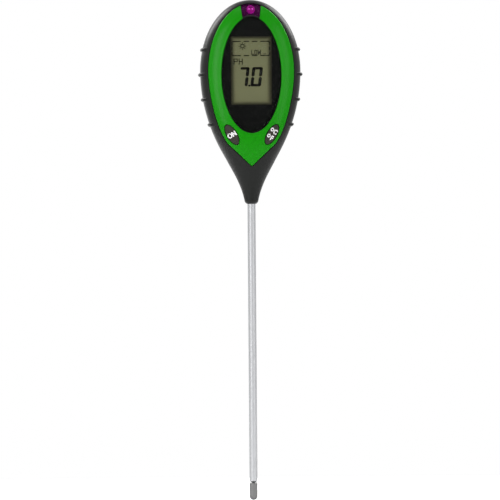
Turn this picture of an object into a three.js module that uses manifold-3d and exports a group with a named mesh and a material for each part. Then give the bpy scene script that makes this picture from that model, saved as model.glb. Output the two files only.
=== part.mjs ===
// Handheld soil moisture, pH, light and temperature meter.
// Millimetres. The origin is the tip of the probe; +Z runs up the probe to the head, the display
// faces -Y, and the two housing halves meet on the plane y = 0, which holds the probe's axis.
import * as THREE from "three";
import { mergeVertices } from "three/addons/utils/BufferGeometryUtils.js";
import Module from "manifold-3d";

// ---- Driving dimensions ------------------------------------------------------------------------

// Clearances: between pieces that touch, across the seam, and round a piece that moves.
const GAP = 0.3;
const SEAM_GAP = 0.3;
const KEY_CLEARANCE = 0.35;
const PIN_CLEARANCE = 0.3;
const FAR = 60; // reaches past the head on either side when cutting

// Probe
const PROBE_EXPOSED = 177.3;
const PROBE_INSERTED = 22;
const PROBE_RADIUS = 2.4;
const PROBE_WALL = 0.5;
const TIP_LENGTH = 10.2;
const STUD_RADIUS = 0.9;
const STUD_LENGTH = 5.8;
const RING_THICKNESS = 0.4;
const RING_RECESS = 0.2;
const SLEEVE_LENGTH = 6.4;
const SLEEVE_WALL = 0.4;
const COLLAR_HEIGHT = 4;
const COLLAR_WALL = 1.9;
const COLLAR_SEAT = 13.7; // from the neck's mouth up to the collar
const COLLAR_SHOULDER = 0.6; // how far the throat above steps in over the collar

// Head, as seen from the front
const HEAD_LENGTH = 122.7;
const HEAD_HALF_WIDTH = 30;
const CROWN_HEIGHT = 42.3; // from the widest level to the top
const BELLY_HANDLE = 28.7;
const FLANK_DROP = 54.2; // from the widest level to where belly meets neck
const FLANK_HALF_WIDTH = 14.3;
const FLANK_SLOPE = 0.51;
const FLANK_HANDLE_UP = 6.5;
const FLANK_HANDLE_DOWN = 6.9;
const NECK_RADIUS = 3.8;
const NECK_SLOPE = 0.15;
const NECK_HANDLE = 11;
const MOUTH_ROUND = 1.9;

// Head, as seen from the side
const FRONT_DEPTH = 12.8;
const FRONT_SHOULDER = 31.7; // below the widest level, where the face starts to slope in
const FRONT_HANDLE = 20;
const FRONT_FOOT = 18.7; // height of the lower handle over the neck's mouth
const FRONT_FOOT_DEPTH = 5.4;
const BACK_CROWN = 1.5; // how far the dome of the back would stand past its flat
const BACK_SHOULDER = 35.7;
const BACK_HANDLE = 16;
const BACK_FOOT = 19.7;
const BACK_FOOT_DEPTH = 6;
const CROWN_POWER = 3;
const FRONT_POWER = 2.4;
const BACK_POWER = 4;
const ROUND_UNTIL = 38; // the section grows from round at the mouth to its full shape here
const WALL = 2.2;
const FACE_WALL = 2.8;
const CAVITY_FLOOR = 25.7; // solid neck below it, from the mouth
const LIP_WALL = 1;
const LIP_REACH = 1.7;

// Finger ribs down both edges
const RIB_COUNT = 4;
const RIB_PITCH = 15.07;
const RIB_FIRST = 12.6; // the top rib over the widest level
const RIB_PROUD = 1.4;
const RIB_HALF_HEIGHT = 1.15;
const RIB_FRONT_ANGLE = 26;
const RIB_BACK_ANGLE = 44;
const RIB_FADE_ANGLE = 15;

// Bezel
const BEZEL_BORDER = 4.3; // black housing left outside it at the widest level
const BEZEL_TOP_BORDER = 2.5;
const BEZEL_WIDEST_DROP = 0.7;
const BEZEL_HANDLE = 13.5;
const BEZEL_CORNER_DROP = 46.2;
const BEZEL_CORNER_HALF_WIDTH = 11.9;
const BEZEL_CORNER_HANDLE_ACROSS = 8.2;
const BEZEL_CORNER_HANDLE_UP = 5.9;
const BEZEL_POINT_DROP = 57.5;
const BEZEL_THICKNESS = 1.5;
const BEZEL_PROUD = 0.3;
const BED_INSET = 0.6; // how far in from the silhouette the bezel's bed starts
const BAND_WIDTH = 7.65;

// Display
const WINDOW_DROP = 2.1; // oval window's centre below the widest level
const WINDOW_HALF_HEIGHT = 35.6;
const LENS_FRONT = 10.8;
const LENS_THICKNESS = 1.5;
const LENS_FLOOR = 1.6;
const LCD_DROP = 0.2;
const LCD_WIDTH = 28;
const LCD_HEIGHT = 45;
const LCD_GLASS = 1;
const LCD_LEDGE = 2.2;
const LCD_VIEW_WIDTH = 26;
const LCD_VIEW_HEIGHT = 42.4;
const ZEBRA_DEPTH = 2.6;
const ZEBRA_LENGTH = 26;
const FRAME_WALL = 1;

// Light sensor
const SENSOR_RISE = 36.4; // centre over the widest level
const SENSOR_HALF_WIDTH = 5.75;
const SENSOR_FLARE = 0.14;
const SENSOR_LENS_HEIGHT = 8;
const PHOTOCELL_RADIUS = 2.53;
const PHOTOCELL_THICKNESS = 2;
const PHOTOCELL_FRONT = 5.9;
const PHOTOCELL_LEG_RADIUS = 0.25;
const PHOTOCELL_LEG_SPREAD = 1.7;
const PHOTOCELL_LEG_INSET = 1.5; // from the board's top edge

// Keys and their switches
const KEY_SPREAD = 12;
const KEY_DROP = 38.6;
const KEY_HALF_LENGTH = 6.6;
const KEY_HALF_WIDTH = 2.8;
const KEY_TILT = 31;
const KEY_PROUD = 0.8;
const KEY_FLANGE = 0.9;
const KEY_FLANGE_THICKNESS = 1;
const SWITCH_SIZE = 6;
const SWITCH_HEIGHT = 2;
const PLUNGER_RADIUS = 1.6;
const PLUNGER_PROUD = 0.6;
const PLUNGER_SUNK = 1.2;

// Circuit board
const BOARD_THICKNESS = 1.6;
const BOARD_HALF_WIDTH = 17.5;
const BOARD_BELOW = 44.2; // lower edge below the widest level
const BOARD_ABOVE = 32.8;
const BOARD_FOOT_HALF_WIDTH = 15.2;
const BOARD_FOOT_TAPER = 8.5;
const BOARD_HEAD_HALF_WIDTH = 12.5;
const BOARD_HEAD_TAPER = 9.5;
const BOARD_SCREWS = [
  { name: "board_screw_upper_left", x: -9.5, rise: 29.3 },
  { name: "board_screw_upper_right", x: 9.5, rise: 29.3 },
  { name: "board_screw_lower_left", x: -15, rise: -30.2 },
  { name: "board_screw_lower_right", x: 15, rise: -30.2 },
];
const BOARD_SCREW_RADIUS = 0.9;
const BOARD_SCREW_LENGTH = 5;
const BOARD_BOSS_RADIUS = 2;
const BOARD_SCREW_HEAD_RADIUS = 1.8;
const BOARD_SCREW_HEAD = 1;
const CHIP_RADIUS = 7;
const CHIP_HEIGHT = 1.2;
const CHIP_DROP = 6;
const AMPLIFIER = { x: -9, drop: 33, width: 5, height: 4, thickness: 1.2 };

// Housing screws
const HOUSING_SCREWS = [
  { name: "housing_screw_upper_left", x: -21, rise: 10.3 },
  { name: "housing_screw_upper_right", x: 21, rise: 10.3 },
  { name: "housing_screw_lower_left", x: -8.2, rise: -51.2 },
  { name: "housing_screw_lower_right", x: 8.2, rise: -51.2 },
];
const SCREW_RADIUS = 1.3;
const SCREW_HEAD_RADIUS = 2.2;
const SCREW_HEAD = 1.6;
const SCREW_SEAT = 8; // depth behind the seam at which the heads sit
const SCREW_REACH = 5; // how far the screws enter the front half
const BOSS_RADIUS = 2.8;
const COUNTERBORE_WALL = 0.9;

// Battery, its bay and its door
const BATTERY_WIDTH = 26.5;
const BATTERY_DEPTH = 17.5;
const BATTERY_BODY = 46.4;
const BATTERY_SLACK = 0.5; // between the battery and the door
const BAY_FLOOR = 1.2;
const BAY_WALL = 1.4;
const BAY_LENGTH = 54.1;
const BAY_DROP = 32.5; // bottom of the bay below the widest level
const TERMINAL_HEIGHT = 2.1;
const TERMINAL_SPREAD = 6.35;
const POSITIVE_RADIUS = 2.9;
const NEGATIVE_RADIUS = 4;
const SNAP_WIDTH = 25;
const SNAP_DEPTH = 13;
const SNAP_HEIGHT = 4.2;
const BATTERY_LEAD_RADIUS = 0.6;
const BATTERY_LEAD_SPREAD = 2.5;
const BATTERY_LEAD_SPLAY = 1.5;
const BATTERY_LEAD_RISE = 5.6; // over the top of the bay
const DOOR_THICKNESS = 2;
const DOOR_LAP = 1.8;
const DOOR_CORNER = 2;
const LEDGE_THICKNESS = 1.4;
const HINGE_SETBACK = 2.4; // axis below the bottom of the bay
const BARREL_RADIUS = 1.6;
const PIN_RADIUS = 0.7;
const PIN_LENGTH = 1.2;
const LATCH_HALF_WIDTH = 5.5;
const LATCH_SLOT = 1;
const LATCH_LENGTH = 9;
const THUMB_RADIUS = 8;
const THUMB_DEPTH = 1.5;

// Leads inside the head and the probe
const LEAD_RADIUS = 0.45;
const BORE_OFFSET = 0.8; // leads beside each other in the tube
const LEAD_SPREAD = 5;
const LEAD_LAP = 3.5;
const THERMISTOR_RADIUS = 0.75;
const THERMISTOR_LENGTH = 3;
const THERMISTOR_HEIGHT = 22;

// ---- Levels and places that follow -------------------------------------------------------------

const MOUTH_Z = PROBE_EXPOSED;
const TOP_Z = MOUTH_Z + HEAD_LENGTH;
const WIDEST_Z = TOP_Z - CROWN_HEIGHT;
const CAVITY_Z = MOUTH_Z + CAVITY_FLOOR;
const TUBE_TOP_Z = MOUTH_Z + PROBE_INSERTED;
const COLLAR_Z = MOUTH_Z + COLLAR_SEAT;
const COLLAR_TOP_Z = COLLAR_Z + COLLAR_HEIGHT;

// Depths, from the lens at the front back to the battery door
const RECESS_DEPTH = BEZEL_THICKNESS + GAP;
const LENS_BACK_Y = -LENS_FRONT + LENS_THICKNESS;
const LENS_SEAT_Y = LENS_BACK_Y + GAP;
const FACE_Y = LENS_SEAT_Y + LENS_FLOOR;
const LCD_Y = FACE_Y + GAP;
const ZEBRA_Y = LCD_Y + LCD_GLASS + GAP;
const BOARD_Y = ZEBRA_Y + ZEBRA_DEPTH + GAP;
const BOARD_BACK_Y = BOARD_Y + BOARD_THICKNESS;
const PARTS_Y = BOARD_BACK_Y + GAP;
const BAY_FRONT_Y = PARTS_Y + CHIP_HEIGHT + GAP;
const BATTERY_Y = BAY_FRONT_Y + BAY_FLOOR + GAP;
const BATTERY_MID_Y = BATTERY_Y + BATTERY_DEPTH / 2;
const DOOR_Y = BATTERY_Y + BATTERY_DEPTH + BATTERY_SLACK;
const BACK_FLAT = DOOR_Y + DOOR_THICKNESS; // the dome of the back is cut flat here
const BACK_DEPTH = BACK_FLAT + BACK_CROWN;
const LEDGE_Y = DOOR_Y - GAP;

const BEZEL_HALF_WIDTH = HEAD_HALF_WIDTH - BEZEL_BORDER;
const BEZEL_TOP_Z = TOP_Z - BEZEL_TOP_BORDER;
const BEZEL_WIDEST_Z = WIDEST_Z - BEZEL_WIDEST_DROP;
const WINDOW_Z = WIDEST_Z - WINDOW_DROP;
const WINDOW_HALF_WIDTH = BEZEL_HALF_WIDTH - BAND_WIDTH;
const LCD_Z = WIDEST_Z - LCD_DROP;
const SENSOR_Z = WIDEST_Z + SENSOR_RISE;
const KEY_Z = WIDEST_Z - KEY_DROP;
const BOARD_LOW_Z = WIDEST_Z - BOARD_BELOW;
const BOARD_HIGH_Z = WIDEST_Z + BOARD_ABOVE;

const BAY_HALF_WIDTH = BATTERY_WIDTH / 2 + GAP;
const BAY_LOW_Z = WIDEST_Z - BAY_DROP;
const BAY_HIGH_Z = BAY_LOW_Z + BAY_LENGTH;
const BATTERY_Z = BAY_LOW_Z + GAP;
const TERMINAL_Z = BATTERY_Z + BATTERY_BODY;
const SNAP_Z = TERMINAL_Z + GAP;
const SNAP_TOP_Z = SNAP_Z + SNAP_HEIGHT;
const HINGE_Y = BACK_FLAT - BARREL_RADIUS;
const HINGE_Z = BAY_LOW_Z - HINGE_SETBACK;
const DOOR_HALF_WIDTH = BAY_HALF_WIDTH + DOOR_LAP;
const DOOR_TOP_Z = BAY_HIGH_Z + DOOR_LAP;

const RIB_LEVELS = Array.from({ length: RIB_COUNT }, (_, i) => WIDEST_Z + RIB_FIRST - i * RIB_PITCH);

const SKIN = { side: 0, front: 0, back: 0 };
const PROUD_SKIN = { side: 0, front: -BEZEL_PROUD, back: 0 };
const KEY_SKIN = { side: 0, front: -KEY_PROUD, back: 0 };
const BEZEL_BED = { side: BED_INSET, front: BEZEL_THICKNESS, back: 0 };
const RECESS_BED = { side: BED_INSET + GAP, front: RECESS_DEPTH, back: WALL / 2 };
const INNER_SKIN = { side: WALL, front: FACE_WALL, back: WALL };
const LIP_ROOT = { side: WALL / 2, front: FACE_WALL, back: WALL };
const LIP_OUTER = { side: WALL + GAP, front: FACE_WALL, back: WALL };
const LIP_INNER = { side: WALL + GAP + LIP_WALL, front: FACE_WALL, back: WALL };

// Facets: fine for skins that show, coarse for the surfaces inside
const FINE = { around: 32, lower: 12, upper: 9, mouth: [0.15, 0.5, 1] };
const COARSE = { around: 24, lower: 8, upper: 9, mouth: [] };
const OUTLINE_STEPS = 8;
const ROD_SIDES = 12;
const TUBE_SIDES = 16;
const RIB_RINGS = [-1, -0.85, -0.4, 0.4, 0.85, 1]; // in half heights of a rib
const RIB_ZONE = 1.5; // the head's own rings keep this many half heights away from a rib
const NORMAL_STEP = 0.01; // radians to either side of a point, to find its normal
const HEX_SIDES = 6;
const TIP_STEPS = 6;
const LEG_STEPS = 6;
const SHORT_LEAD_STEPS = 12;
const LONG_LEAD_STEPS = 30;

// ---- Materials ---------------------------------------------------------------------------------

const material = (color, roughness, metalness = 0) =>
  new THREE.MeshStandardMaterial({ color, roughness, metalness });
const BLACK_PLASTIC = material(0x2a2f29, 0.5);
const GREEN_PLASTIC = material(0x1e8c05, 0.35);
const WINDOW_BLACK = material(0x141615, 0.12);
const PURPLE_LENS = material(0x7a2a86, 0.15);
const LCD_MATERIAL = material(0x6c6b57, 0.25);
const KEY_RUBBER = material(0x464141, 0.6);
const STEEL = material(0xb4b4b4, 0.3, 1);
const DARK_STEEL = material(0x7f7f7f, 0.4, 1);
const BRASS = material(0xb08d4a, 0.35, 1);
const NYLON = material(0xd9d6c8, 0.6);
const BOARD_GREEN = material(0x1f5a36, 0.5);
const SILICONE = material(0x303236, 0.7);
const EPOXY = material(0x101010, 0.3);
const CELL_FACE = material(0xc9b7a0, 0.6);
const BATTERY_CAN = material(0x9a9ca0, 0.4, 0.6);
const RED_LEAD = material(0xb01818, 0.5);
const BLACK_LEAD = material(0x161616, 0.5);
const WHITE_LEAD = material(0xd0d0cc, 0.5);

// ---- Solids ------------------------------------------------------------------------------------

const wasm = await Module();
wasm.setup();

// A closed geometry as a solid that can be joined and cut.
function solid(geometry) {
  const bare = geometry.clone();
  bare.deleteAttribute("normal");
  bare.deleteAttribute("uv");
  const merged = mergeVertices(bare, 1e-4);
  const vertProperties = merged.attributes.position.array;
  const triVerts = new Uint32Array(merged.index.array);
  return new wasm.Manifold(new wasm.Mesh({ numProp: 3, vertProperties, triVerts }));
}

// A finished solid as a named mesh.
function piece(name, body, look) {
  const { vertProperties, triVerts } = body.getMesh();
  const geometry = new THREE.BufferGeometry();
  geometry.setAttribute("position", new THREE.BufferAttribute(vertProperties, 3));
  geometry.setIndex(new THREE.BufferAttribute(triVerts, 1));
  geometry.computeVertexNormals();
  const mesh = new THREE.Mesh(geometry, look.clone());
  mesh.name = name;
  return mesh;
}

const join = (bodies) => bodies.reduce((sum, body) => sum.add(body));

function block(x0, x1, y0, y1, z0, z1) {
  const geometry = new THREE.BoxGeometry(x1 - x0, y1 - y0, z1 - z0);
  geometry.translate((x0 + x1) / 2, (y0 + y1) / 2, (z0 + z1) / 2);
  return solid(geometry);
}

function rodAlongY(x, z, radius, y0, y1, sides = ROD_SIDES) {
  const geometry = new THREE.CylinderGeometry(radius, radius, y1 - y0, sides);
  geometry.translate(x, (y0 + y1) / 2, z);
  return solid(geometry);
}

function rodAlongX(y, z, radius, halfLength) {
  const geometry = new THREE.CylinderGeometry(radius, radius, 2 * halfLength, ROD_SIDES);
  geometry.rotateZ(Math.PI / 2);
  geometry.translate(0, y, z);
  return solid(geometry);
}

function rodAlongZ(x, y, radius, z0, z1, sides = ROD_SIDES) {
  const geometry = new THREE.CylinderGeometry(radius, radius, z1 - z0, sides);
  geometry.rotateX(Math.PI / 2);
  geometry.translate(x, y, (z0 + z1) / 2);
  return solid(geometry);
}

// An outline drawn in x and z, extruded from depth y0 to y1.
function plate(shape, y0, y1) {
  const geometry = new THREE.ExtrudeGeometry(shape, {
    depth: y1 - y0,
    bevelEnabled: false,
    curveSegments: OUTLINE_STEPS,
  });
  geometry.rotateX(Math.PI / 2);
  geometry.translate(0, y1, 0);
  return solid(geometry);
}

// A profile of [radius, height] pairs turned about the probe's axis.
function turned(profile) {
  const points = profile.map(([radius, z]) => new THREE.Vector2(radius, z));
  const geometry = new THREE.LatheGeometry(points, TUBE_SIDES);
  geometry.rotateX(Math.PI / 2);
  return solid(geometry);
}

// A round lead through a few [x, y, z] points.
function lead(points, radius, steps) {
  const path = new THREE.CatmullRomCurve3(points.map((point) => new THREE.Vector3(...point)));
  const corners = Array.from({ length: HEX_SIDES }, (_, i) => {
    const angle = (i / HEX_SIDES) * 2 * Math.PI;
    return [radius * Math.cos(angle), radius * Math.sin(angle)];
  });
  return solid(new THREE.ExtrudeGeometry(polygon(corners), { extrudePath: path, steps }));
}

// A skin over rings of equal length, closed at each end by a fan to a point.
function loft(rings, start, end) {
  const sides = rings[0].length;
  const vertices = [start, ...rings.flat(), end].flatMap((point) => point.toArray());
  const last = vertices.length / 3 - 1;
  const at = (ring, i) => 1 + ring * sides + (i % sides);
  const index = [];
  for (let i = 0; i < sides; i += 1) {
    index.push(0, at(0, i + 1), at(0, i));
    for (let ring = 0; ring < rings.length - 1; ring += 1) {
      index.push(at(ring, i), at(ring, i + 1), at(ring + 1, i + 1));
      index.push(at(ring, i), at(ring + 1, i + 1), at(ring + 1, i));
    }
    index.push(last, at(rings.length - 1, i), at(rings.length - 1, i + 1));
  }
  const geometry = new THREE.BufferGeometry();
  geometry.setAttribute("position", new THREE.Float32BufferAttribute(vertices, 3));
  geometry.setIndex(index);
  return solid(geometry);
}

// ---- Shape of the head -------------------------------------------------------------------------

const point = (x, z) => new THREE.Vector2(x, z);

// The side outline below the widest level: belly, then neck.
const FLANK_Z = WIDEST_Z - FLANK_DROP;
const WIDTH_CURVES = [
  new THREE.CubicBezierCurve(
    point(HEAD_HALF_WIDTH, WIDEST_Z),
    point(HEAD_HALF_WIDTH, WIDEST_Z - BELLY_HANDLE),
    point(FLANK_HALF_WIDTH + FLANK_SLOPE * FLANK_HANDLE_UP, FLANK_Z + FLANK_HANDLE_UP),
    point(FLANK_HALF_WIDTH, FLANK_Z),
  ),
  new THREE.CubicBezierCurve(
    point(FLANK_HALF_WIDTH, FLANK_Z),
    point(FLANK_HALF_WIDTH - FLANK_SLOPE * FLANK_HANDLE_DOWN, FLANK_Z - FLANK_HANDLE_DOWN),
    point(NECK_RADIUS + NECK_SLOPE * NECK_HANDLE, MOUTH_Z + NECK_HANDLE),
    point(NECK_RADIUS, MOUTH_Z),
  ),
];
const FRONT_CURVES = [
  new THREE.CubicBezierCurve(
    point(FRONT_DEPTH, WIDEST_Z - FRONT_SHOULDER),
    point(FRONT_DEPTH, WIDEST_Z - FRONT_SHOULDER - FRONT_HANDLE),
    point(FRONT_FOOT_DEPTH, MOUTH_Z + FRONT_FOOT),
    point(NECK_RADIUS, MOUTH_Z),
  ),
];
const BACK_CURVES = [
  new THREE.CubicBezierCurve(
    point(BACK_DEPTH, WIDEST_Z - BACK_SHOULDER),
    point(BACK_DEPTH, WIDEST_Z - BACK_SHOULDER - BACK_HANDLE),
    point(BACK_FOOT_DEPTH, MOUTH_Z + BACK_FOOT),
    point(NECK_RADIUS, MOUTH_Z),
  ),
];

// How far a falling outline stands from the axis at height z, by halving its parameter.
function reachAt(curves, z) {
  const curve = curves.find((part) => z >= part.v3.y) ?? curves.at(-1);
  if (z >= curve.v0.y) return curve.v0.x;
  let low = 0;
  let high = 1;
  while (high - low > 1e-6) {
    const middle = (low + high) / 2;
    if (curve.getPoint(middle).y > z) low = middle;
    else high = middle;
  }
  return curve.getPoint(low).x;
}

// How far the rounded edge of the neck's mouth draws the skin in at height z.
function mouthDraw(z) {
  const below = THREE.MathUtils.clamp(MOUTH_Z + MOUTH_ROUND - z, 0, MOUTH_ROUND);
  return MOUTH_ROUND - Math.sqrt(MOUTH_ROUND ** 2 - below ** 2);
}

// The head's section at height z, drawn in by an inset: half width, depths and squareness.
function sectionAt(z, inset) {
  const drawn = mouthDraw(z);
  const climb = Math.max(0, (z - WIDEST_Z) / (CROWN_HEIGHT - inset.side));
  const narrowing = Math.sqrt(Math.max(0, 1 - climb ** 2));
  const thinning = Math.max(0, 1 - climb ** CROWN_POWER) ** (1 / CROWN_POWER);
  const squareness = THREE.MathUtils.smoothstep(z, MOUTH_Z, MOUTH_Z + ROUND_UNTIL);
  return {
    half: (reachAt(WIDTH_CURVES, z) - inset.side - drawn) * narrowing,
    front: (reachAt(FRONT_CURVES, z) - inset.front - drawn) * thinning,
    back: (reachAt(BACK_CURVES, z) - inset.back - drawn) * thinning,
    frontPower: 2 + (FRONT_POWER - 2) * squareness,
    backPower: 2 + (BACK_POWER - 2) * squareness,
  };
}

const signedPower = (value, power) => Math.sign(value) * Math.abs(value) ** power;

// A point on a section, a superellipse whose front and back halves differ.
function outlinePoint(section, angle, z) {
  const behind = Math.sin(angle) > 0;
  const power = 2 / (behind ? section.backPower : section.frontPower);
  const x = section.half * signedPower(Math.cos(angle), power);
  const y = (behind ? section.back : section.front) * signedPower(Math.sin(angle), power);
  return new THREE.Vector3(x, y, z);
}

// How far a finger rib lifts the skin: full at the side of the head, none at the face and back.
function ribLift(angle, z) {
  const fromSide = THREE.MathUtils.radToDeg(Math.asin(Math.sin(angle)));
  const end = fromSide < 0 ? RIB_FRONT_ANGLE : RIB_BACK_ANGLE;
  const fade = 1 - THREE.MathUtils.smoothstep(Math.abs(fromSide), end - RIB_FADE_ANGLE, end);
  const nearest = Math.min(...RIB_LEVELS.map((level) => Math.abs(z - level)));
  return RIB_PROUD * fade * Math.sqrt(Math.max(0, 1 - (nearest / RIB_HALF_HEIGHT) ** 2));
}

// The head, drawn in by an inset, from height fromZ up to its crown. Ribs add rings of their own.
function headBody(inset, facets, fromZ = MOUTH_Z, ribLevels = []) {
  const rise = CROWN_HEIGHT - inset.side;
  const heights = [];
  for (let i = 0; i < facets.lower; i += 1) {
    heights.push(fromZ + ((WIDEST_Z - fromZ) * i) / facets.lower);
  }
  for (let i = 0; i < facets.upper; i += 1) {
    heights.push(WIDEST_Z + rise * Math.sin(((i / facets.upper) * Math.PI) / 2));
  }
  const clear = heights.filter((z) =>
    ribLevels.every((level) => Math.abs(z - level) > RIB_ZONE * RIB_HALF_HEIGHT),
  );
  const ribHeights = ribLevels.flatMap((level) =>
    RIB_RINGS.map((share) => level + share * RIB_HALF_HEIGHT),
  );
  const mouthHeights = fromZ > MOUTH_Z ? [] : facets.mouth.map((share) => fromZ + share * MOUTH_ROUND);
  const rings = [...clear, ...mouthHeights, ...ribHeights]
    .sort((a, b) => a - b)
    .map((z) => {
      const section = sectionAt(z, inset);
      const ring = [];
      for (let i = 0; i < facets.around; i += 1) {
        const angle = (i / facets.around) * 2 * Math.PI;
        const lift = ribLevels.length > 0 ? ribLift(angle, z) : 0;
        const spot = outlinePoint(section, angle, z);
        const along = outlinePoint(section, angle + NORMAL_STEP, z).sub(
          outlinePoint(section, angle - NORMAL_STEP, z),
        );
        spot.addScaledVector(new THREE.Vector3(along.y, -along.x, 0).normalize(), lift);
        ring.push(spot);
      }
      return ring;
    });
  return loft(rings, new THREE.Vector3(0, 0, fromZ), new THREE.Vector3(0, 0, WIDEST_Z + rise));
}

// ---- Outlines on the face ----------------------------------------------------------------------

function bezelShape(grow = 0) {
  const half = BEZEL_HALF_WIDTH + grow;
  const slant = grow * Math.SQRT1_2;
  const cornerX = BEZEL_CORNER_HALF_WIDTH + slant;
  const cornerZ = WIDEST_Z - BEZEL_CORNER_DROP - slant;
  const handleX = cornerX + BEZEL_CORNER_HANDLE_ACROSS;
  const handleZ = cornerZ + BEZEL_CORNER_HANDLE_UP;
  const lowHandleZ = BEZEL_WIDEST_Z - BEZEL_HANDLE;
  const rise = BEZEL_TOP_Z + grow - BEZEL_WIDEST_Z;
  const shape = new THREE.Shape();
  shape.absellipse(0, BEZEL_WIDEST_Z, half, rise, Math.PI, 0, true);
  shape.bezierCurveTo(half, lowHandleZ, handleX, handleZ, cornerX, cornerZ);
  shape.lineTo(0, WIDEST_Z - BEZEL_POINT_DROP - 2 * slant);
  shape.lineTo(-cornerX, cornerZ);
  shape.bezierCurveTo(-handleX, handleZ, -half, lowHandleZ, -half, BEZEL_WIDEST_Z);
  return shape;
}

function ellipseShape(x, z, halfWidth, halfHeight, turn = 0) {
  const shape = new THREE.Shape();
  shape.absellipse(x, z, halfWidth, halfHeight, 0, 2 * Math.PI, false, turn);
  return shape;
}

const windowShape = (grow = 0) =>
  ellipseShape(0, WINDOW_Z, WINDOW_HALF_WIDTH + grow, WINDOW_HALF_HEIGHT + grow);

const keyShape = (side, grow = 0) =>
  ellipseShape(
    side * KEY_SPREAD,
    KEY_Z,
    KEY_HALF_WIDTH + grow,
    KEY_HALF_LENGTH + grow,
    -side * THREE.MathUtils.degToRad(KEY_TILT),
  );

function polygon(corners) {
  return new THREE.Shape(corners.map(([x, z]) => new THREE.Vector2(x, z)));
}

// The flared slot over the light sensor, wider towards the top.
function sensorShape(grow = 0) {
  const low = SENSOR_HALF_WIDTH - SENSOR_FLARE * SENSOR_LENS_HEIGHT + grow;
  const high = SENSOR_HALF_WIDTH + SENSOR_FLARE * SENSOR_LENS_HEIGHT + grow;
  const lowZ = SENSOR_Z - SENSOR_LENS_HEIGHT;
  const highZ = SENSOR_Z + SENSOR_LENS_HEIGHT;
  return polygon([[-low, lowZ], [low, lowZ], [high, highZ], [-high, highZ]]);
}

function boardShape() {
  const footZ = BOARD_LOW_Z + BOARD_FOOT_TAPER;
  const headZ = BOARD_HIGH_Z - BOARD_HEAD_TAPER;
  return polygon([
    [-BOARD_FOOT_HALF_WIDTH, BOARD_LOW_Z],
    [BOARD_FOOT_HALF_WIDTH, BOARD_LOW_Z],
    [BOARD_HALF_WIDTH, footZ],
    [BOARD_HALF_WIDTH, headZ],
    [BOARD_HEAD_HALF_WIDTH, BOARD_HIGH_Z],
    [-BOARD_HEAD_HALF_WIDTH, BOARD_HIGH_Z],
    [-BOARD_HALF_WIDTH, headZ],
    [-BOARD_HALF_WIDTH, footZ],
  ]);
}

// The door, or with grow the opening it closes: square at the hinge, rounded at the top.
function doorShape(lowZ, grow = 0) {
  const half = DOOR_HALF_WIDTH + grow;
  const top = DOOR_TOP_Z + grow;
  const corner = DOOR_CORNER + grow;
  const shape = new THREE.Shape();
  shape.moveTo(-half, lowZ);
  shape.lineTo(half, lowZ);
  shape.absarc(half - corner, top - corner, corner, 0, Math.PI / 2);
  shape.absarc(corner - half, top - corner, corner, Math.PI / 2, Math.PI);
  return shape;
}

// ---- Housing -----------------------------------------------------------------------------------

const head = headBody(SKIN, FINE);
const core = headBody(RECESS_BED, COARSE);
const ribbedHead = headBody(SKIN, FINE, MOUTH_Z, RIB_LEVELS);
const cavity = headBody(INNER_SKIN, COARSE, CAVITY_Z).intersect(
  block(-FAR, FAR, FACE_Y, BACK_FLAT - WALL, 0, TOP_Z),
);

// The probe's way through the neck: a bore, a pocket for the collar and a narrower throat over it.
const collarRadius = PROBE_RADIUS + GAP + COLLAR_WALL;
const probeWay = join([
  rodAlongZ(0, 0, PROBE_RADIUS + GAP, MOUTH_Z - FAR, COLLAR_Z, TUBE_SIDES),
  rodAlongZ(0, 0, collarRadius + GAP, COLLAR_Z - GAP, COLLAR_TOP_Z + GAP, TUBE_SIDES),
  rodAlongZ(0, 0, collarRadius - COLLAR_SHOULDER, COLLAR_TOP_Z, CAVITY_Z + GAP, TUBE_SIDES),
]);

function frontShell() {
  const half = block(-FAR, FAR, -FAR, -SEAM_GAP / 2, 0, TOP_Z + FAR);
  const bosses = [
    ...HOUSING_SCREWS.map(({ x, rise }) =>
      rodAlongY(x, WIDEST_Z + rise, BOSS_RADIUS, -FRONT_DEPTH, -SEAM_GAP / 2),
    ),
    ...BOARD_SCREWS.map(({ x, rise }) =>
      rodAlongY(x, WIDEST_Z + rise, BOARD_BOSS_RADIUS, -FRONT_DEPTH, BOARD_Y - GAP),
    ),
  ];
  const lcdHalfWidth = LCD_VIEW_WIDTH / 2;
  const lcdHalfHeight = LCD_VIEW_HEIGHT / 2;
  const cuts = [
    plate(bezelShape(GAP), -FAR, 0).subtract(core),
    plate(windowShape(), -FAR, LENS_SEAT_Y),
    block(-lcdHalfWidth, lcdHalfWidth, -FAR, 0, LCD_Z - lcdHalfHeight, LCD_Z + lcdHalfHeight),
    rodAlongY(0, SENSOR_Z, PHOTOCELL_RADIUS + GAP, -FAR, 0, TUBE_SIDES),
    ...[-1, 1].map((side) => plate(keyShape(side, KEY_CLEARANCE), -FAR, 0)),
    ...[-1, 1].map((side) => plate(keyShape(side, KEY_FLANGE + GAP), FACE_Y, 0)),
    ...HOUSING_SCREWS.map(({ x, rise }) =>
      rodAlongY(x, WIDEST_Z + rise, SCREW_RADIUS + GAP, -SCREW_REACH - GAP, 0),
    ),
    ...BOARD_SCREWS.map(({ x, rise }) =>
      rodAlongY(x, WIDEST_Z + rise, BOARD_SCREW_RADIUS + GAP, BOARD_Y - BOARD_SCREW_LENGTH, 0),
    ),
    probeWay,
  ];
  return ribbedHead
    .intersect(half)
    .subtract(cavity)
    .add(join(bosses).intersect(core))
    .subtract(join(cuts));
}

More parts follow.
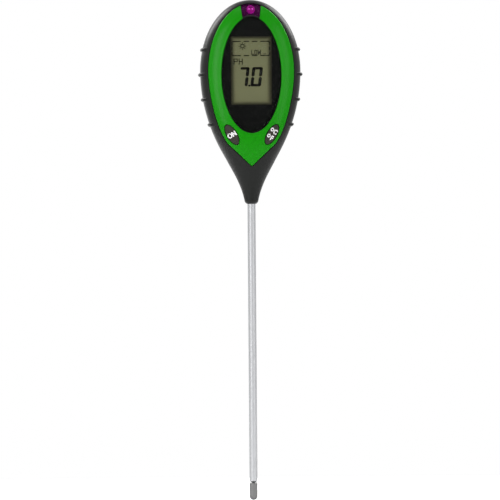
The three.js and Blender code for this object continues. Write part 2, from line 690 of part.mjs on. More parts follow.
function rearShell() {
  const half = block(-FAR, FAR, SEAM_GAP / 2, BACK_FLAT, 0, TOP_Z + FAR);
  const lipBand = block(-FAR, FAR, -LIP_REACH, LIP_REACH, CAVITY_Z + GAP, TOP_Z);
  const lipRoot = block(-FAR, FAR, SEAM_GAP / 2, LIP_REACH, CAVITY_Z, TOP_Z);
  const lip = join([
    headBody(LIP_OUTER, COARSE, CAVITY_Z).intersect(lipBand),
    headBody(LIP_ROOT, COARSE, CAVITY_Z).intersect(lipRoot),
  ]).subtract(headBody(LIP_INNER, COARSE, CAVITY_Z - GAP));
  const counterbore = SCREW_HEAD_RADIUS + GAP;
  const bosses = HOUSING_SCREWS.map(({ x, rise }) =>
    rodAlongY(x, WIDEST_Z + rise, counterbore + COUNTERBORE_WALL, SEAM_GAP / 2, BACK_DEPTH),
  );
  const bayOuter = BAY_HALF_WIDTH + BAY_WALL;
  const bay = block(
    -bayOuter, bayOuter, BAY_FRONT_Y, LEDGE_Y, BAY_LOW_Z - BAY_WALL, BAY_HIGH_Z + BAY_WALL,
  );
  const barrelLowZ = HINGE_Z - BARREL_RADIUS;
  const ledge = plate(
    doorShape(barrelLowZ - GAP - BAY_WALL, GAP + BAY_WALL), LEDGE_Y - LEDGE_THICKNESS, BACK_FLAT,
  );
  const leadSlot = BATTERY_LEAD_SPREAD + BATTERY_LEAD_RADIUS + GAP;
  const cuts = [
    block(-BAY_HALF_WIDTH, BAY_HALF_WIDTH, BATTERY_Y - GAP, FAR, BAY_LOW_Z, BAY_HIGH_Z),
    block(
      -leadSlot, leadSlot, BATTERY_MID_Y - 2 * BATTERY_LEAD_RADIUS,
      BATTERY_MID_Y + 2 * BATTERY_LEAD_RADIUS, BAY_HIGH_Z - GAP, BAY_HIGH_Z + 2 * BAY_WALL,
    ),
    plate(doorShape(barrelLowZ - GAP, GAP), LEDGE_Y, FAR),
    rodAlongX(HINGE_Y, HINGE_Z, BARREL_RADIUS + GAP, DOOR_HALF_WIDTH + GAP),
    rodAlongX(HINGE_Y, HINGE_Z, PIN_RADIUS + PIN_CLEARANCE, DOOR_HALF_WIDTH + PIN_LENGTH + GAP),
    ...HOUSING_SCREWS.map(({ x, rise }) =>
      rodAlongY(x, WIDEST_Z + rise, SCREW_RADIUS + GAP, 0, FAR),
    ),
    ...HOUSING_SCREWS.map(({ x, rise }) =>
      rodAlongY(x, WIDEST_Z + rise, counterbore, SCREW_SEAT, FAR),
    ),
    solid(
      new THREE.SphereGeometry(THUMB_RADIUS, TUBE_SIDES, ROD_SIDES)
        .translate(0, BACK_FLAT + THUMB_RADIUS - THUMB_DEPTH, DOOR_TOP_Z + GAP + BAY_WALL),
    ),
    probeWay,
  ];
  return ribbedHead
    .intersect(half)
    .subtract(cavity)
    .add(lip)
    .add(join([...bosses, bay, ledge]).intersect(core).intersect(half))
    .subtract(join(cuts));
}

function batteryDoor() {
  const reach = DOOR_HALF_WIDTH + PIN_LENGTH;
  const slotX = LATCH_HALF_WIDTH + LATCH_SLOT;
  const slot = (side) =>
    block(
      Math.min(side * LATCH_HALF_WIDTH, side * slotX), Math.max(side * LATCH_HALF_WIDTH, side * slotX),
      0, FAR, DOOR_TOP_Z - LATCH_LENGTH, DOOR_TOP_Z + FAR,
    );
  return head
    .intersect(plate(doorShape(HINGE_Z), DOOR_Y, BACK_FLAT))
    .add(rodAlongX(HINGE_Y, HINGE_Z, BARREL_RADIUS, DOOR_HALF_WIDTH))
    .add(rodAlongX(HINGE_Y, HINGE_Z, PIN_RADIUS, reach))
    .subtract(slot(1))
    .subtract(slot(-1));
}

function housingScrew({ name, x, rise }) {
  const z = WIDEST_Z + rise;
  const seat = SCREW_SEAT + GAP;
  const body = join([
    rodAlongY(x, z, SCREW_RADIUS, -SCREW_REACH, seat + SCREW_HEAD / 2),
    rodAlongY(x, z, SCREW_HEAD_RADIUS, seat, seat + SCREW_HEAD),
  ]);
  return piece(name, body, STEEL);
}

// ---- Face --------------------------------------------------------------------------------------

function bezel() {
  const band = headBody(PROUD_SKIN, FINE).subtract(headBody(BEZEL_BED, COARSE));
  const outline = plate(bezelShape(), -FAR, 0)
    .subtract(plate(windowShape(), -FAR, 0))
    .subtract(plate(sensorShape(), -FAR, 0))
    .subtract(plate(keyShape(1, KEY_CLEARANCE), -FAR, 0))
    .subtract(plate(keyShape(-1, KEY_CLEARANCE), -FAR, 0));
  return band.intersect(outline);
}

function sensorLens() {
  const band = head.subtract(headBody(BEZEL_BED, COARSE));
  const outline = plate(sensorShape(-GAP), -FAR, 0)
    .intersect(plate(bezelShape(), -FAR, 0))
    .subtract(plate(windowShape(), -FAR, 0));
  return band.intersect(outline);
}

const displayLens = () => plate(windowShape(-GAP), -LENS_FRONT, LENS_BACK_Y);

function key(side) {
  const back = FACE_Y + GAP + KEY_FLANGE_THICKNESS;
  const cap = plate(keyShape(side), -FAR, back).intersect(headBody(KEY_SKIN, FINE));
  return cap.add(plate(keyShape(side, KEY_FLANGE), FACE_Y + GAP, back));
}

// ---- Display, board and switches ---------------------------------------------------------------

function lcdPanel() {
  const halfWidth = LCD_WIDTH / 2;
  const halfHeight = LCD_HEIGHT / 2;
  const rearHalf = halfHeight - LCD_LEDGE;
  const middle = LCD_Y + LCD_GLASS;
  return join([
    block(-halfWidth, halfWidth, LCD_Y, middle, LCD_Z - halfHeight, LCD_Z + halfHeight),
    block(
      -halfWidth, halfWidth, middle - LCD_GLASS / 2, middle + LCD_GLASS,
      LCD_Z - rearHalf, LCD_Z + rearHalf,
    ),
  ]);
}

function lcdFrame() {
  const innerX = LCD_WIDTH / 2 + GAP;
  const innerZ = LCD_HEIGHT / 2 + GAP;
  const outerX = innerX + FRAME_WALL;
  const outerZ = innerZ + FRAME_WALL;
  return block(-outerX, outerX, LCD_Y, BOARD_Y - GAP, LCD_Z - outerZ, LCD_Z + outerZ).subtract(
    block(-innerX, innerX, -FAR, FAR, LCD_Z - innerZ, LCD_Z + innerZ),
  );
}

// The elastic contact strip on the ledge at the top (side 1) or bottom (side -1) of the display.
function zebraStrip(side) {
  const near = side * (LCD_HEIGHT / 2 - LCD_LEDGE + GAP);
  const far = (side * LCD_HEIGHT) / 2;
  const half = ZEBRA_LENGTH / 2;
  return block(
    -half, half, ZEBRA_Y, ZEBRA_Y + ZEBRA_DEPTH,
    LCD_Z + Math.min(near, far), LCD_Z + Math.max(near, far),
  );
}

function circuitBoard() {
  const holes = BOARD_SCREWS.map(({ x, rise }) =>
    rodAlongY(x, WIDEST_Z + rise, BOARD_SCREW_RADIUS + GAP, BOARD_Y - GAP, PARTS_Y, HEX_SIDES),
  );
  return plate(boardShape(), BOARD_Y, BOARD_BACK_Y).subtract(join(holes));
}

function boardScrew({ name, x, rise }) {
  const z = WIDEST_Z + rise;
  const front = BOARD_Y - BOARD_SCREW_LENGTH + GAP;
  const body = join([
    rodAlongY(x, z, BOARD_SCREW_RADIUS, front, PARTS_Y + BOARD_SCREW_HEAD / 2, HEX_SIDES),
    rodAlongY(x, z, BOARD_SCREW_HEAD_RADIUS, PARTS_Y, PARTS_Y + BOARD_SCREW_HEAD),
  ]);
  return piece(name, body, STEEL);
}

// A low dome of potting over the controller die.
function controllerChip() {
  const geometry = new THREE.SphereGeometry(CHIP_RADIUS, ROD_SIDES, HEX_SIDES);
  geometry.scale(1, CHIP_HEIGHT / CHIP_RADIUS, 1);
  geometry.translate(0, PARTS_Y, WIDEST_Z - CHIP_DROP);
  return solid(geometry).intersect(block(-FAR, FAR, PARTS_Y, FAR, 0, TOP_Z));
}

function amplifierChip() {
  const { x, drop, width, height, thickness } = AMPLIFIER;
  const z = WIDEST_Z - drop;
  return block(
    x - width / 2, x + width / 2, PARTS_Y, PARTS_Y + thickness, z - height / 2, z + height / 2,
  );
}

const switchFrontY = BOARD_Y - GAP - SWITCH_HEIGHT;

function switchBody(side) {
  const x = side * KEY_SPREAD;
  const half = SWITCH_SIZE / 2;
  return block(x - half, x + half, switchFrontY, BOARD_Y - GAP, KEY_Z - half, KEY_Z + half).subtract(
    rodAlongY(x, KEY_Z, PLUNGER_RADIUS + GAP, -FAR, FAR),
  );
}

const switchPlunger = (side) =>
  rodAlongY(
    side * KEY_SPREAD, KEY_Z, PLUNGER_RADIUS, switchFrontY - PLUNGER_PROUD, switchFrontY + PLUNGER_SUNK,
  );

// The light cell: a disc behind the purple lens with two legs down to the board.
function photocell() {
  const back = PHOTOCELL_THICKNESS - PHOTOCELL_FRONT;
  const footZ = BOARD_HIGH_Z - PHOTOCELL_LEG_INSET;
  const legs = [-1, 1].map((side) => {
    const x = side * PHOTOCELL_LEG_SPREAD;
    const route = [
      [x, back - PHOTOCELL_THICKNESS / 2, SENSOR_Z - PHOTOCELL_RADIUS / 2],
      [x, back - GAP, SENSOR_Z - PHOTOCELL_RADIUS],
      [x, back, footZ],
      [x, BOARD_Y - GAP, footZ],
    ];
    return lead(route, PHOTOCELL_LEG_RADIUS, LEG_STEPS);
  });
  const disc = rodAlongY(0, SENSOR_Z, PHOTOCELL_RADIUS, -PHOTOCELL_FRONT, back, TUBE_SIDES);
  return join([disc, ...legs]);
}

// ---- Battery -----------------------------------------------------------------------------------

function battery() {
  const half = BATTERY_WIDTH / 2;
  const top = TERMINAL_Z + TERMINAL_HEIGHT;
  const root = TERMINAL_Z - TERMINAL_HEIGHT;
  return join([
    block(-half, half, BATTERY_Y, BATTERY_Y + BATTERY_DEPTH, BATTERY_Z, TERMINAL_Z),
    rodAlongZ(TERMINAL_SPREAD, BATTERY_MID_Y, POSITIVE_RADIUS, root, top),
    rodAlongZ(-TERMINAL_SPREAD, BATTERY_MID_Y, NEGATIVE_RADIUS, root, top, HEX_SIDES),
  ]);
}

function batterySnap() {
  const halfX = SNAP_WIDTH / 2;
  const halfY = SNAP_DEPTH / 2;
  const holeTop = TERMINAL_Z + TERMINAL_HEIGHT + GAP;
  const low = SNAP_Z - GAP;
  return block(
    -halfX, halfX, BATTERY_MID_Y - halfY, BATTERY_MID_Y + halfY, SNAP_Z, SNAP_TOP_Z,
  )
    .subtract(rodAlongZ(TERMINAL_SPREAD, BATTERY_MID_Y, POSITIVE_RADIUS + GAP, low, holeTop))
    .subtract(rodAlongZ(-TERMINAL_SPREAD, BATTERY_MID_Y, NEGATIVE_RADIUS + GAP, low, holeTop));
}

// From the snap through the slot in the bay's top and over to the back of the board.
function batteryLead(side) {
  const x = side * BATTERY_LEAD_SPREAD;
  const slotZ = BAY_HIGH_Z + BAY_WALL;
  const overZ = slotZ + BATTERY_LEAD_RISE;
  const footX = x + side * BATTERY_LEAD_SPLAY;
  const route = [
    [x, BATTERY_MID_Y, SNAP_TOP_Z + GAP],
    [x, BATTERY_MID_Y, slotZ],
    [x, BATTERY_MID_Y - BATTERY_LEAD_RISE / 4, slotZ + BATTERY_LEAD_RISE / 2],
    [x + (footX - x) / 2, BATTERY_MID_Y / 2, overZ],
    [footX, BATTERY_LEAD_RISE / 2, overZ],
    [footX, PARTS_Y, overZ],
  ];
  return lead(route, BATTERY_LEAD_RADIUS, SHORT_LEAD_STEPS);
}

// ---- Probe -------------------------------------------------------------------------------------

const TUBE_Z = TIP_LENGTH + GAP + RING_THICKNESS + GAP;
const TUBE_BORE = PROBE_RADIUS - PROBE_WALL;
const SLEEVE_RADIUS = TUBE_BORE - GAP;
const SLEEVE_TOP_Z = TIP_LENGTH + SLEEVE_LENGTH;

const probeTube = () =>
  turned([
    [TUBE_BORE, TUBE_Z],
    [PROBE_RADIUS, TUBE_Z],
    [PROBE_RADIUS, TUBE_TOP_Z],
    [TUBE_BORE, TUBE_TOP_Z],
    [TUBE_BORE, TUBE_Z],
  ]);

// The rounded tip with the stud that carries it inside the insulator.
function probeTip() {
  const profile = [];
  for (let i = 0; i <= TIP_STEPS; i += 1) {
    const angle = ((i / TIP_STEPS) * Math.PI) / 2;
    profile.push([PROBE_RADIUS * Math.sin(angle), PROBE_RADIUS * (1 - Math.cos(angle))]);
  }
  profile.push([PROBE_RADIUS, TIP_LENGTH]);
  profile.push([STUD_RADIUS, TIP_LENGTH]);
  profile.push([STUD_RADIUS, TIP_LENGTH + STUD_LENGTH]);
  profile.push([0, TIP_LENGTH + STUD_LENGTH]);
  return turned(profile);
}

function probeInsulator() {
  const bore = SLEEVE_RADIUS - SLEEVE_WALL;
  const low = TIP_LENGTH + GAP;
  const ringRadius = PROBE_RADIUS - RING_RECESS;
  return turned([
    [bore, low],
    [ringRadius, low],
    [ringRadius, low + RING_THICKNESS],
    [SLEEVE_RADIUS, low + RING_THICKNESS],
    [SLEEVE_RADIUS, SLEEVE_TOP_Z],
    [bore, SLEEVE_TOP_Z],
    [bore, low],
  ]);
}

const probeCollar = () =>
  turned([
    [PROBE_RADIUS + GAP, COLLAR_Z],
    [collarRadius, COLLAR_Z],
    [collarRadius, COLLAR_TOP_Z],
    [PROBE_RADIUS + GAP, COLLAR_TOP_Z],
    [PROBE_RADIUS + GAP, COLLAR_Z],
  ]);

// The three probe leads come up through the throat and end along the back of the board.
const BOARD_LEAD_Y = BOARD_BACK_Y + GAP + LEAD_RADIUS;
const LEAD_END_Z = BOARD_LOW_Z + LEAD_LAP;
const LEAD_RISE_Z = (CAVITY_Z + BOARD_LOW_Z) / 2;

// Up the bore of the tube at x, then across to boardX on the board.
const throughTube = (x, boardX) => [
  [x, 0, MOUTH_Z / 2],
  [x, 0, MOUTH_Z],
  [x, 0, TUBE_TOP_Z],
  [x, 0, CAVITY_Z],
  [(x + boardX) / 2, BOARD_LEAD_Y / 2, LEAD_RISE_Z],
  [boardX, BOARD_LEAD_Y, BOARD_LOW_Z],
  [boardX, BOARD_LEAD_Y, LEAD_END_Z],
];

function tipLead() {
  const route = [
    [0, 0, TIP_LENGTH + STUD_LENGTH + GAP],
    [0, 0, SLEEVE_TOP_Z],
    [-BORE_OFFSET, 0, SLEEVE_TOP_Z + LEAD_LAP],
    ...throughTube(-BORE_OFFSET, -LEAD_SPREAD),
  ];
  return lead(route, LEAD_RADIUS, LONG_LEAD_STEPS);
}

function thermistorLead() {
  const startZ = THERMISTOR_HEIGHT + THERMISTOR_LENGTH + GAP;
  const route = [[BORE_OFFSET, 0, startZ], ...throughTube(BORE_OFFSET, 0)];
  return lead(route, LEAD_RADIUS, LONG_LEAD_STEPS);
}

function tubeLead() {
  const x = (PROBE_RADIUS + collarRadius - COLLAR_SHOULDER) / 2;
  const route = [
    [x, 0, COLLAR_TOP_Z + GAP],
    [x, 0, TUBE_TOP_Z],
    [x, 0, CAVITY_Z],
    [(x + LEAD_SPREAD) / 2, BOARD_LEAD_Y / 2, LEAD_RISE_Z],
    [LEAD_SPREAD, BOARD_LEAD_Y, BOARD_LOW_Z],
    [LEAD_SPREAD, BOARD_LEAD_Y, LEAD_END_Z],
  ];
  return lead(route, LEAD_RADIUS, SHORT_LEAD_STEPS);
}

const thermistor = () =>
  rodAlongZ(
    BORE_OFFSET, 0, THERMISTOR_RADIUS, THERMISTOR_HEIGHT, THERMISTOR_HEIGHT + THERMISTOR_LENGTH,
  );

// ---- Assembly ----------------------------------------------------------------------------------

const meter = new THREE.Group();
meter.add(
  piece("front_shell", frontShell(), BLACK_PLASTIC),
  piece("rear_shell", rearShell(), BLACK_PLASTIC),
  piece("battery_door", batteryDoor(), BLACK_PLASTIC),
  piece("bezel", bezel(), GREEN_PLASTIC),
  piece("display_lens", displayLens(), WINDOW_BLACK),
  piece("light_sensor_lens", sensorLens(), PURPLE_LENS),
  piece("photocell", photocell(), CELL_FACE),
  piece("key_on", key(-1), KEY_RUBBER),
  piece("key_unit", key(1), KEY_RUBBER),
  piece("lcd_panel", lcdPanel(), LCD_MATERIAL),
  piece("lcd_frame", lcdFrame(), NYLON),
  piece("zebra_strip_top", zebraStrip(1), SILICONE),
  piece("zebra_strip_bottom", zebraStrip(-1), SILICONE),
  piece("circuit_board", circuitBoard(), BOARD_GREEN),
  piece("controller_chip", controllerChip(), EPOXY),
  piece("amplifier_chip", amplifierChip(), EPOXY),
  piece("switch_body_on", switchBody(-1), EPOXY),
  piece("switch_body_unit", switchBody(1), EPOXY),
  piece("switch_plunger_on", switchPlunger(-1), NYLON),
  piece("switch_plunger_unit", switchPlunger(1), NYLON),
  piece("battery_9v", battery(), BATTERY_CAN),
  piece("battery_snap", batterySnap(), SILICONE),
  piece("battery_lead_red", batteryLead(1), RED_LEAD),
  piece("battery_lead_black", batteryLead(-1), BLACK_LEAD),
  piece("probe_tube", probeTube(), STEEL),
  piece("probe_tip", probeTip(), DARK_STEEL),
  piece("probe_insulator", probeInsulator(), SILICONE),
  piece("probe_collar", probeCollar(), BRASS),
  piece("thermistor", thermistor(), EPOXY),
  piece("tip_lead", tipLead(), WHITE_LEAD),
  piece("tube_lead", tubeLead(), BLACK_LEAD),
  piece("thermistor_lead", thermistorLead(), WHITE_LEAD),
  ...HOUSING_SCREWS.map(housingScrew),
  ...BOARD_SCREWS.map(boardScrew),
);

export default meter;
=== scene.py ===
"""Handheld soil meter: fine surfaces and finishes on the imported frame.

Shapes are worked out in millimetres and go to Blender in metres, in the frame's own axes: +Z up the
probe, the display facing -Y, the origin at the tip of the probe.
"""
import math

import bpy
import numpy as np
from mathutils import Euler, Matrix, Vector


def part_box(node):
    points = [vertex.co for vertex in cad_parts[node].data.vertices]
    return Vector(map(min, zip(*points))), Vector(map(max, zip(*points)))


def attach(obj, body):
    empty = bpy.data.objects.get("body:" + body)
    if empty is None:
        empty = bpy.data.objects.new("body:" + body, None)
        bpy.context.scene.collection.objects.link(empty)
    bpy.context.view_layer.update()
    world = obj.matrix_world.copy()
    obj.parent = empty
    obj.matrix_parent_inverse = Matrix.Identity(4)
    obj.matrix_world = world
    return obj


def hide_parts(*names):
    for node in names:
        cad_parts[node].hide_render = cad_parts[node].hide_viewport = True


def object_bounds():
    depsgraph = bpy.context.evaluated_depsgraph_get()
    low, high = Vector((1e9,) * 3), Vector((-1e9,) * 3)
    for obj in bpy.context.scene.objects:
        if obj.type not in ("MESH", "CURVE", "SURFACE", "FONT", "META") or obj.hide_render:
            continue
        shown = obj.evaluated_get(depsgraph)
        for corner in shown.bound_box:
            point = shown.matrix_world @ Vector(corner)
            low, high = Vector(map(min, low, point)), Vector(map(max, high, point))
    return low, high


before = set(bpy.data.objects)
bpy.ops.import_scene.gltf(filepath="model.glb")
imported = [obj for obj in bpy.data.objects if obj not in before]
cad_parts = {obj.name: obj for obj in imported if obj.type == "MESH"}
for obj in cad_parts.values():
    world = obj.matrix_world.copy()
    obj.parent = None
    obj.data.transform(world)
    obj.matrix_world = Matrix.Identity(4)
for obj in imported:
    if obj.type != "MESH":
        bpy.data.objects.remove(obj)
CAD_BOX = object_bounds()

MM = 0.001
HOUSING = "housing"


def corners(node):
    """Lowest and highest corner of a CAD node, in millimetres."""
    low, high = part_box(node)
    return np.array(low) / MM, np.array(high) / MM


# ---- Camera ----

CAMERA_DISTANCE = 6.0
CAMERA_SIDE = math.radians(3.0)  # how far round to the display's left the camera stands
CAMERA_ROLL = math.radians(0.43)
SENSOR_WIDTH = 36.0

object_height = CAD_BOX[1].z - CAD_BOX[0].z
target = Vector((-0.0011, 0.0, (CAD_BOX[0].z + CAD_BOX[1].z) / 2))
camera = bpy.data.objects.new("camera", bpy.data.cameras.new("camera"))
bpy.context.collection.objects.link(camera)
camera.data.sensor_width = SENSOR_WIDTH
camera.data.lens = SENSOR_WIDTH * CAMERA_DISTANCE / object_height
camera.location = target + CAMERA_DISTANCE * Vector((-math.sin(CAMERA_SIDE), -math.cos(CAMERA_SIDE), 0.0))
camera.rotation_euler = Euler((math.pi / 2, CAMERA_ROLL, -CAMERA_SIDE), "XYZ")
bpy.context.scene.camera = camera
bpy.context.scene.view_settings.view_transform = "Standard"

# ---- The head's shape, as the frame has it ----

shell_low, shell_high = corners("front_shell")
tube_low, tube_high = corners("probe_tube")
tip_high = corners("probe_tip")[1]
lens_low, lens_high = corners("display_lens")
lcd_low, lcd_high = corners("lcd_panel")
door_low, door_high = corners("battery_door")
cell_low, cell_high = corners("photocell")

MOUTH_Z = shell_low[2]
TOP_Z = 300.0  # of the smooth head; its last ring is a little lower
CROWN_HEIGHT = 42.3
WIDEST_Z = TOP_Z - CROWN_HEIGHT
HALF_WIDTH = 30.0
FRONT_DEPTH = 12.8
BACK_FLAT = corners("rear_shell")[1][1]
BACK_DEPTH = BACK_FLAT + 1.5
NECK_RADIUS = 3.8
MOUTH_ROUND = 1.9
CROWN_POWER = 3
FRONT_POWER = 2.4
BACK_POWER = 4
ROUND_UNTIL = 38
RIB_FIRST = 12.6  # the top rib over the widest level
RIB_PITCH = 15.07
RIB_LEVELS = [WIDEST_Z + RIB_FIRST - RIB_PITCH * i for i in range(4)]
RIB_PROUD = 1.28
RIB_HALF_HEIGHT = 1.15
RIB_FRONT_ANGLE = 26
RIB_BACK_ANGLE = 44
RIB_FADE_ANGLE = 15
SEAM_HALF_GAP = 0.05
SEAM_ROUND = 0.35
BEZEL_PROUD = 0.26
BEZEL_THICKNESS = 1.5
KEY_PROUD = 0.8
GAP = 0.3


def bezier_table(*points):
    """A falling cubic curve through [reach, height] handles, as heights (rising) and reaches."""
    t = np.linspace(0, 1, 800)[:, None]
    p0, p1, p2, p3 = (np.array(p, float) for p in points)
    curve = (1 - t) ** 3 * p0 + 3 * t * (1 - t) ** 2 * p1 + 3 * t**2 * (1 - t) * p2 + t**3 * p3
    return curve[::-1, 1], curve[::-1, 0]


FLANK = (14.3, WIDEST_Z - 54.2)
FLANK_SLOPE = 0.51
belly = bezier_table(
    (HALF_WIDTH, WIDEST_Z),
    (HALF_WIDTH, WIDEST_Z - 28.7),
    (FLANK[0] + FLANK_SLOPE * 6.5, FLANK[1] + 6.5),
    FLANK,
)
neck = bezier_table(
    FLANK,
    (FLANK[0] - FLANK_SLOPE * 6.9, FLANK[1] - 6.9),
    (NECK_RADIUS + 0.15 * 11, MOUTH_Z + 11),
    (NECK_RADIUS, MOUTH_Z),
)
WIDTHS = (np.append(neck[0][:-1], belly[0]), np.append(neck[1][:-1], belly[1]))
FRONTS = bezier_table(
    (FRONT_DEPTH, WIDEST_Z - 31.7),
    (FRONT_DEPTH, WIDEST_Z - 51.7),
    (5.4, MOUTH_Z + 18.7),
    (NECK_RADIUS, MOUTH_Z),
)
BACKS = bezier_table(
    (BACK_DEPTH, WIDEST_Z - 35.7),
    (BACK_DEPTH, WIDEST_Z - 51.7),
    (6, MOUTH_Z + 19.7),
    (NECK_RADIUS, MOUTH_Z),
)


def smooth(value, low, high):
    """0 up to low, 1 from high, easing between them."""
    share = np.clip((value - low) / (high - low), 0, 1)
    return share * share * (3 - 2 * share)


def section(z, side=0.0, front=0.0, back=0.0):
    """Half width, depths and squareness of the head's section at height z, drawn in by insets."""
    climb = np.maximum(0, (z - WIDEST_Z) / (CROWN_HEIGHT - side))
    narrowing = np.sqrt(np.maximum(0, 1 - climb**2))
    thinning = np.maximum(0, 1 - climb**CROWN_POWER) ** (1 / CROWN_POWER)
    square = smooth(z, MOUTH_Z, MOUTH_Z + ROUND_UNTIL)
    below = np.clip(MOUTH_Z + MOUTH_ROUND - z, 0, MOUTH_ROUND)
    drawn = MOUTH_ROUND - np.sqrt(MOUTH_ROUND**2 - below**2)
    return (
        (np.interp(z, *WIDTHS) - side - drawn) * narrowing,
        (np.interp(z, *FRONTS) - front - drawn) * thinning,
        (np.interp(z, *BACKS) - back - drawn) * thinning,
        2 + (FRONT_POWER - 2) * square,
        2 + (BACK_POWER - 2) * square,
    )


def face_y(x, z, proud=0.0):
    """Depth of the head's front skin at (x, z), standing proud of it by so much."""
    half, front, _, power, _ = section(np.asarray(z, float), front=-proud)
    share = np.clip(np.abs(x) / np.maximum(half, 1e-6), 0, 1)
    return -front * np.maximum(0, 1 - share**power) ** (1 / power)


def rib_lift(degrees, z, behind):
    """How far a finger rib lifts the skin, so many degrees round from the side of the head."""
    end = RIB_BACK_ANGLE if behind else RIB_FRONT_ANGLE
    fade = 1 - smooth(degrees, end - RIB_FADE_ANGLE, end)
    nearest = min(abs(z - level) for level in RIB_LEVELS)
    return RIB_PROUD * fade * math.sqrt(max(0, 1 - (nearest / RIB_HALF_HEIGHT) ** 2))


SEAM_LEVELS = np.array([0, 0.05, 0.1, 0.17, 0.26, 0.4])


def quadrant(half, depth, power, count):
    """(x, y, degrees) from the seam to the middle of a face, at even steps after the seam's own."""
    t = np.linspace(0, 1, 300)
    angle = math.pi / 2 * t * t * (3 - 2 * t)
    x = half * np.cos(angle) ** (2 / power)
    y = depth * np.sin(angle) ** (2 / power)
    length = np.append(0, np.cumsum(np.hypot(np.diff(x), np.diff(y))))
    levels = np.minimum(SEAM_LEVELS, depth * np.linspace(0, 0.3, len(SEAM_LEVELS)))
    start = np.interp(levels, y, length)
    even = np.linspace(start[-1], length[-1], count + 1)[1:]
    at = np.append(start, even)
    return np.interp(at, length, x), np.interp(at, length, y), np.degrees(np.interp(at, length, angle))


def head_ring(z, insets, fine):
    """One closed ring of the head at height z: front from right to left, then the back. Only the
    fine one has ribs and an eased seam."""
    count = 40 if fine else 18
    side, front, back = insets
    half, front_depth, back_depth, front_power, back_power = section(z, side, front, back)
    quarters = []
    for depth, power, behind in ((front_depth, front_power, False), (back_depth, back_power, True)):
        x, y, degrees = quadrant(max(half, 1e-3), max(depth, 1e-3), power, count)
        tangent = np.stack([np.gradient(x), np.gradient(y)])
        normal = np.stack([tangent[1], -tangent[0]]) / np.maximum(np.hypot(*tangent), 1e-9)
        if fine:
            inside = np.clip((SEAM_HALF_GAP + SEAM_ROUND - y) / SEAM_ROUND, 0, 1)
            eased = min(SEAM_ROUND, half / 8) * (1 - np.sqrt(1 - inside**2))
            lift = rib_lift(degrees, z, behind) - eased
            x = x + normal[0] * lift
            y = y + normal[1] * np.maximum(lift, 0)
            y = soft_flat(y) if behind else y
        quarters.append((x, y if behind else -y))
    (fx, fy), (bx, by) = quarters
    xs = np.concatenate([fx, -fx[-2::-1], -bx[1:], bx[-2:0:-1]])
    ys = np.concatenate([fy, fy[-2::-1], by[1:], by[-2:0:-1]])
    return np.stack([xs, ys, np.full_like(xs, z)], 1)


FLAT_SOFTNESS = 0.25


def soft_flat(y):
    """The dome of the back, running smoothly into its flat."""
    return BACK_FLAT - FLAT_SOFTNESS * np.logaddexp(0, (BACK_FLAT - y) / FLAT_SOFTNESS)


# ---- Mesh helpers ----

SHARP = math.radians(32)


def mesh_object(name, vertices, faces):
    """A mesh object from millimetre points, its faces pointing out."""
    mesh = bpy.data.meshes.new(name)
    mesh.from_pydata([tuple(v) for v in np.asarray(vertices, float) * MM], [], faces)
    mesh.validate()
    obj = bpy.data.objects.new(name, mesh)
    bpy.context.collection.objects.link(obj)
    mesh.calc_loop_triangles()
    points = np.array([v.co for v in mesh.vertices])
    a, b, c = (points[[t.vertices[i] for t in mesh.loop_triangles]] for i in range(3))
    if np.einsum("ij,ij->i", a, np.cross(b, c)).sum() < 0:
        mesh.flip_normals()
    return obj


def skin(name, rings, closed_loop=False):
    """A closed solid over rings of equal length: capped at both ends, or joined end to end."""
    rings = [np.asarray(r, float) for r in rings]
    count = len(rings[0])
    vertices = np.concatenate(rings)
    faces = []
    pairs = len(rings) if closed_loop else len(rings) - 1
    for r in range(pairs):
        s = (r + 1) % len(rings)
        for i in range(count):
            j = (i + 1) % count
            faces.append((r * count + i, r * count + j, s * count + j, s * count + i))
    if not closed_loop:
        faces.append(tuple(reversed(range(count))))
        faces.append(tuple(range((len(rings) - 1) * count, len(rings) * count)))
    return mesh_object(name, vertices, faces)


def boolean(obj, other, operation):
    """Joins, cuts or intersects obj with other, which is used up."""
    modifier = obj.modifiers.new("boolean", "BOOLEAN")
    modifier.solver = "MANIFOLD"
    modifier.operation = operation
    modifier.object = other
    shown = obj.evaluated_get(bpy.context.evaluated_depsgraph_get())
    mesh = bpy.data.meshes.new_from_object(shown)
    obj.modifiers.clear()
    obj.data = mesh
    bpy.data.objects.remove(other)
    return obj


def cut(obj, *others):
    """Cuts the others out of obj, one by one."""
    for other in others:
        boolean(obj, other, "DIFFERENCE")
    return obj


def add(obj, *others):
    """Joins the others to obj, one by one."""
    for other in others:
        boolean(obj, other, "UNION")
    return obj


def keep(obj, other):
    """Keeps only what of obj lies inside the other."""
    return boolean(obj, other, "INTERSECT")


def cad_copy(node):
    """A solid with a CAD node's shape, its shared corners merged."""
    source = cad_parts[node].data
    points = np.array([v.co for v in source.vertices]) / MM
    keys, index = np.unique(np.round(points, 4), axis=0, return_inverse=True)
    index = index.reshape(-1)
    faces = [tuple(int(index[i]) for i in p.vertices) for p in source.polygons]
    return mesh_object(node + "_core", keys, [f for f in faces if len(set(f)) == len(f)])


FAR = 60.0


def slab(x0, x1, y0, y1, z0, z1):
    """A plain box for cutting with."""
    return prism([(x0, z0), (x1, z0), (x1, z1), (x0, z1)], y0, y1)


def prism(outline, y0, y1):
    """An outline of (x, z) points, straight through from depth y0 to y1."""
    return skin("prism", [[(x, y, z) for x, z in outline] for y in (y0, y1)])


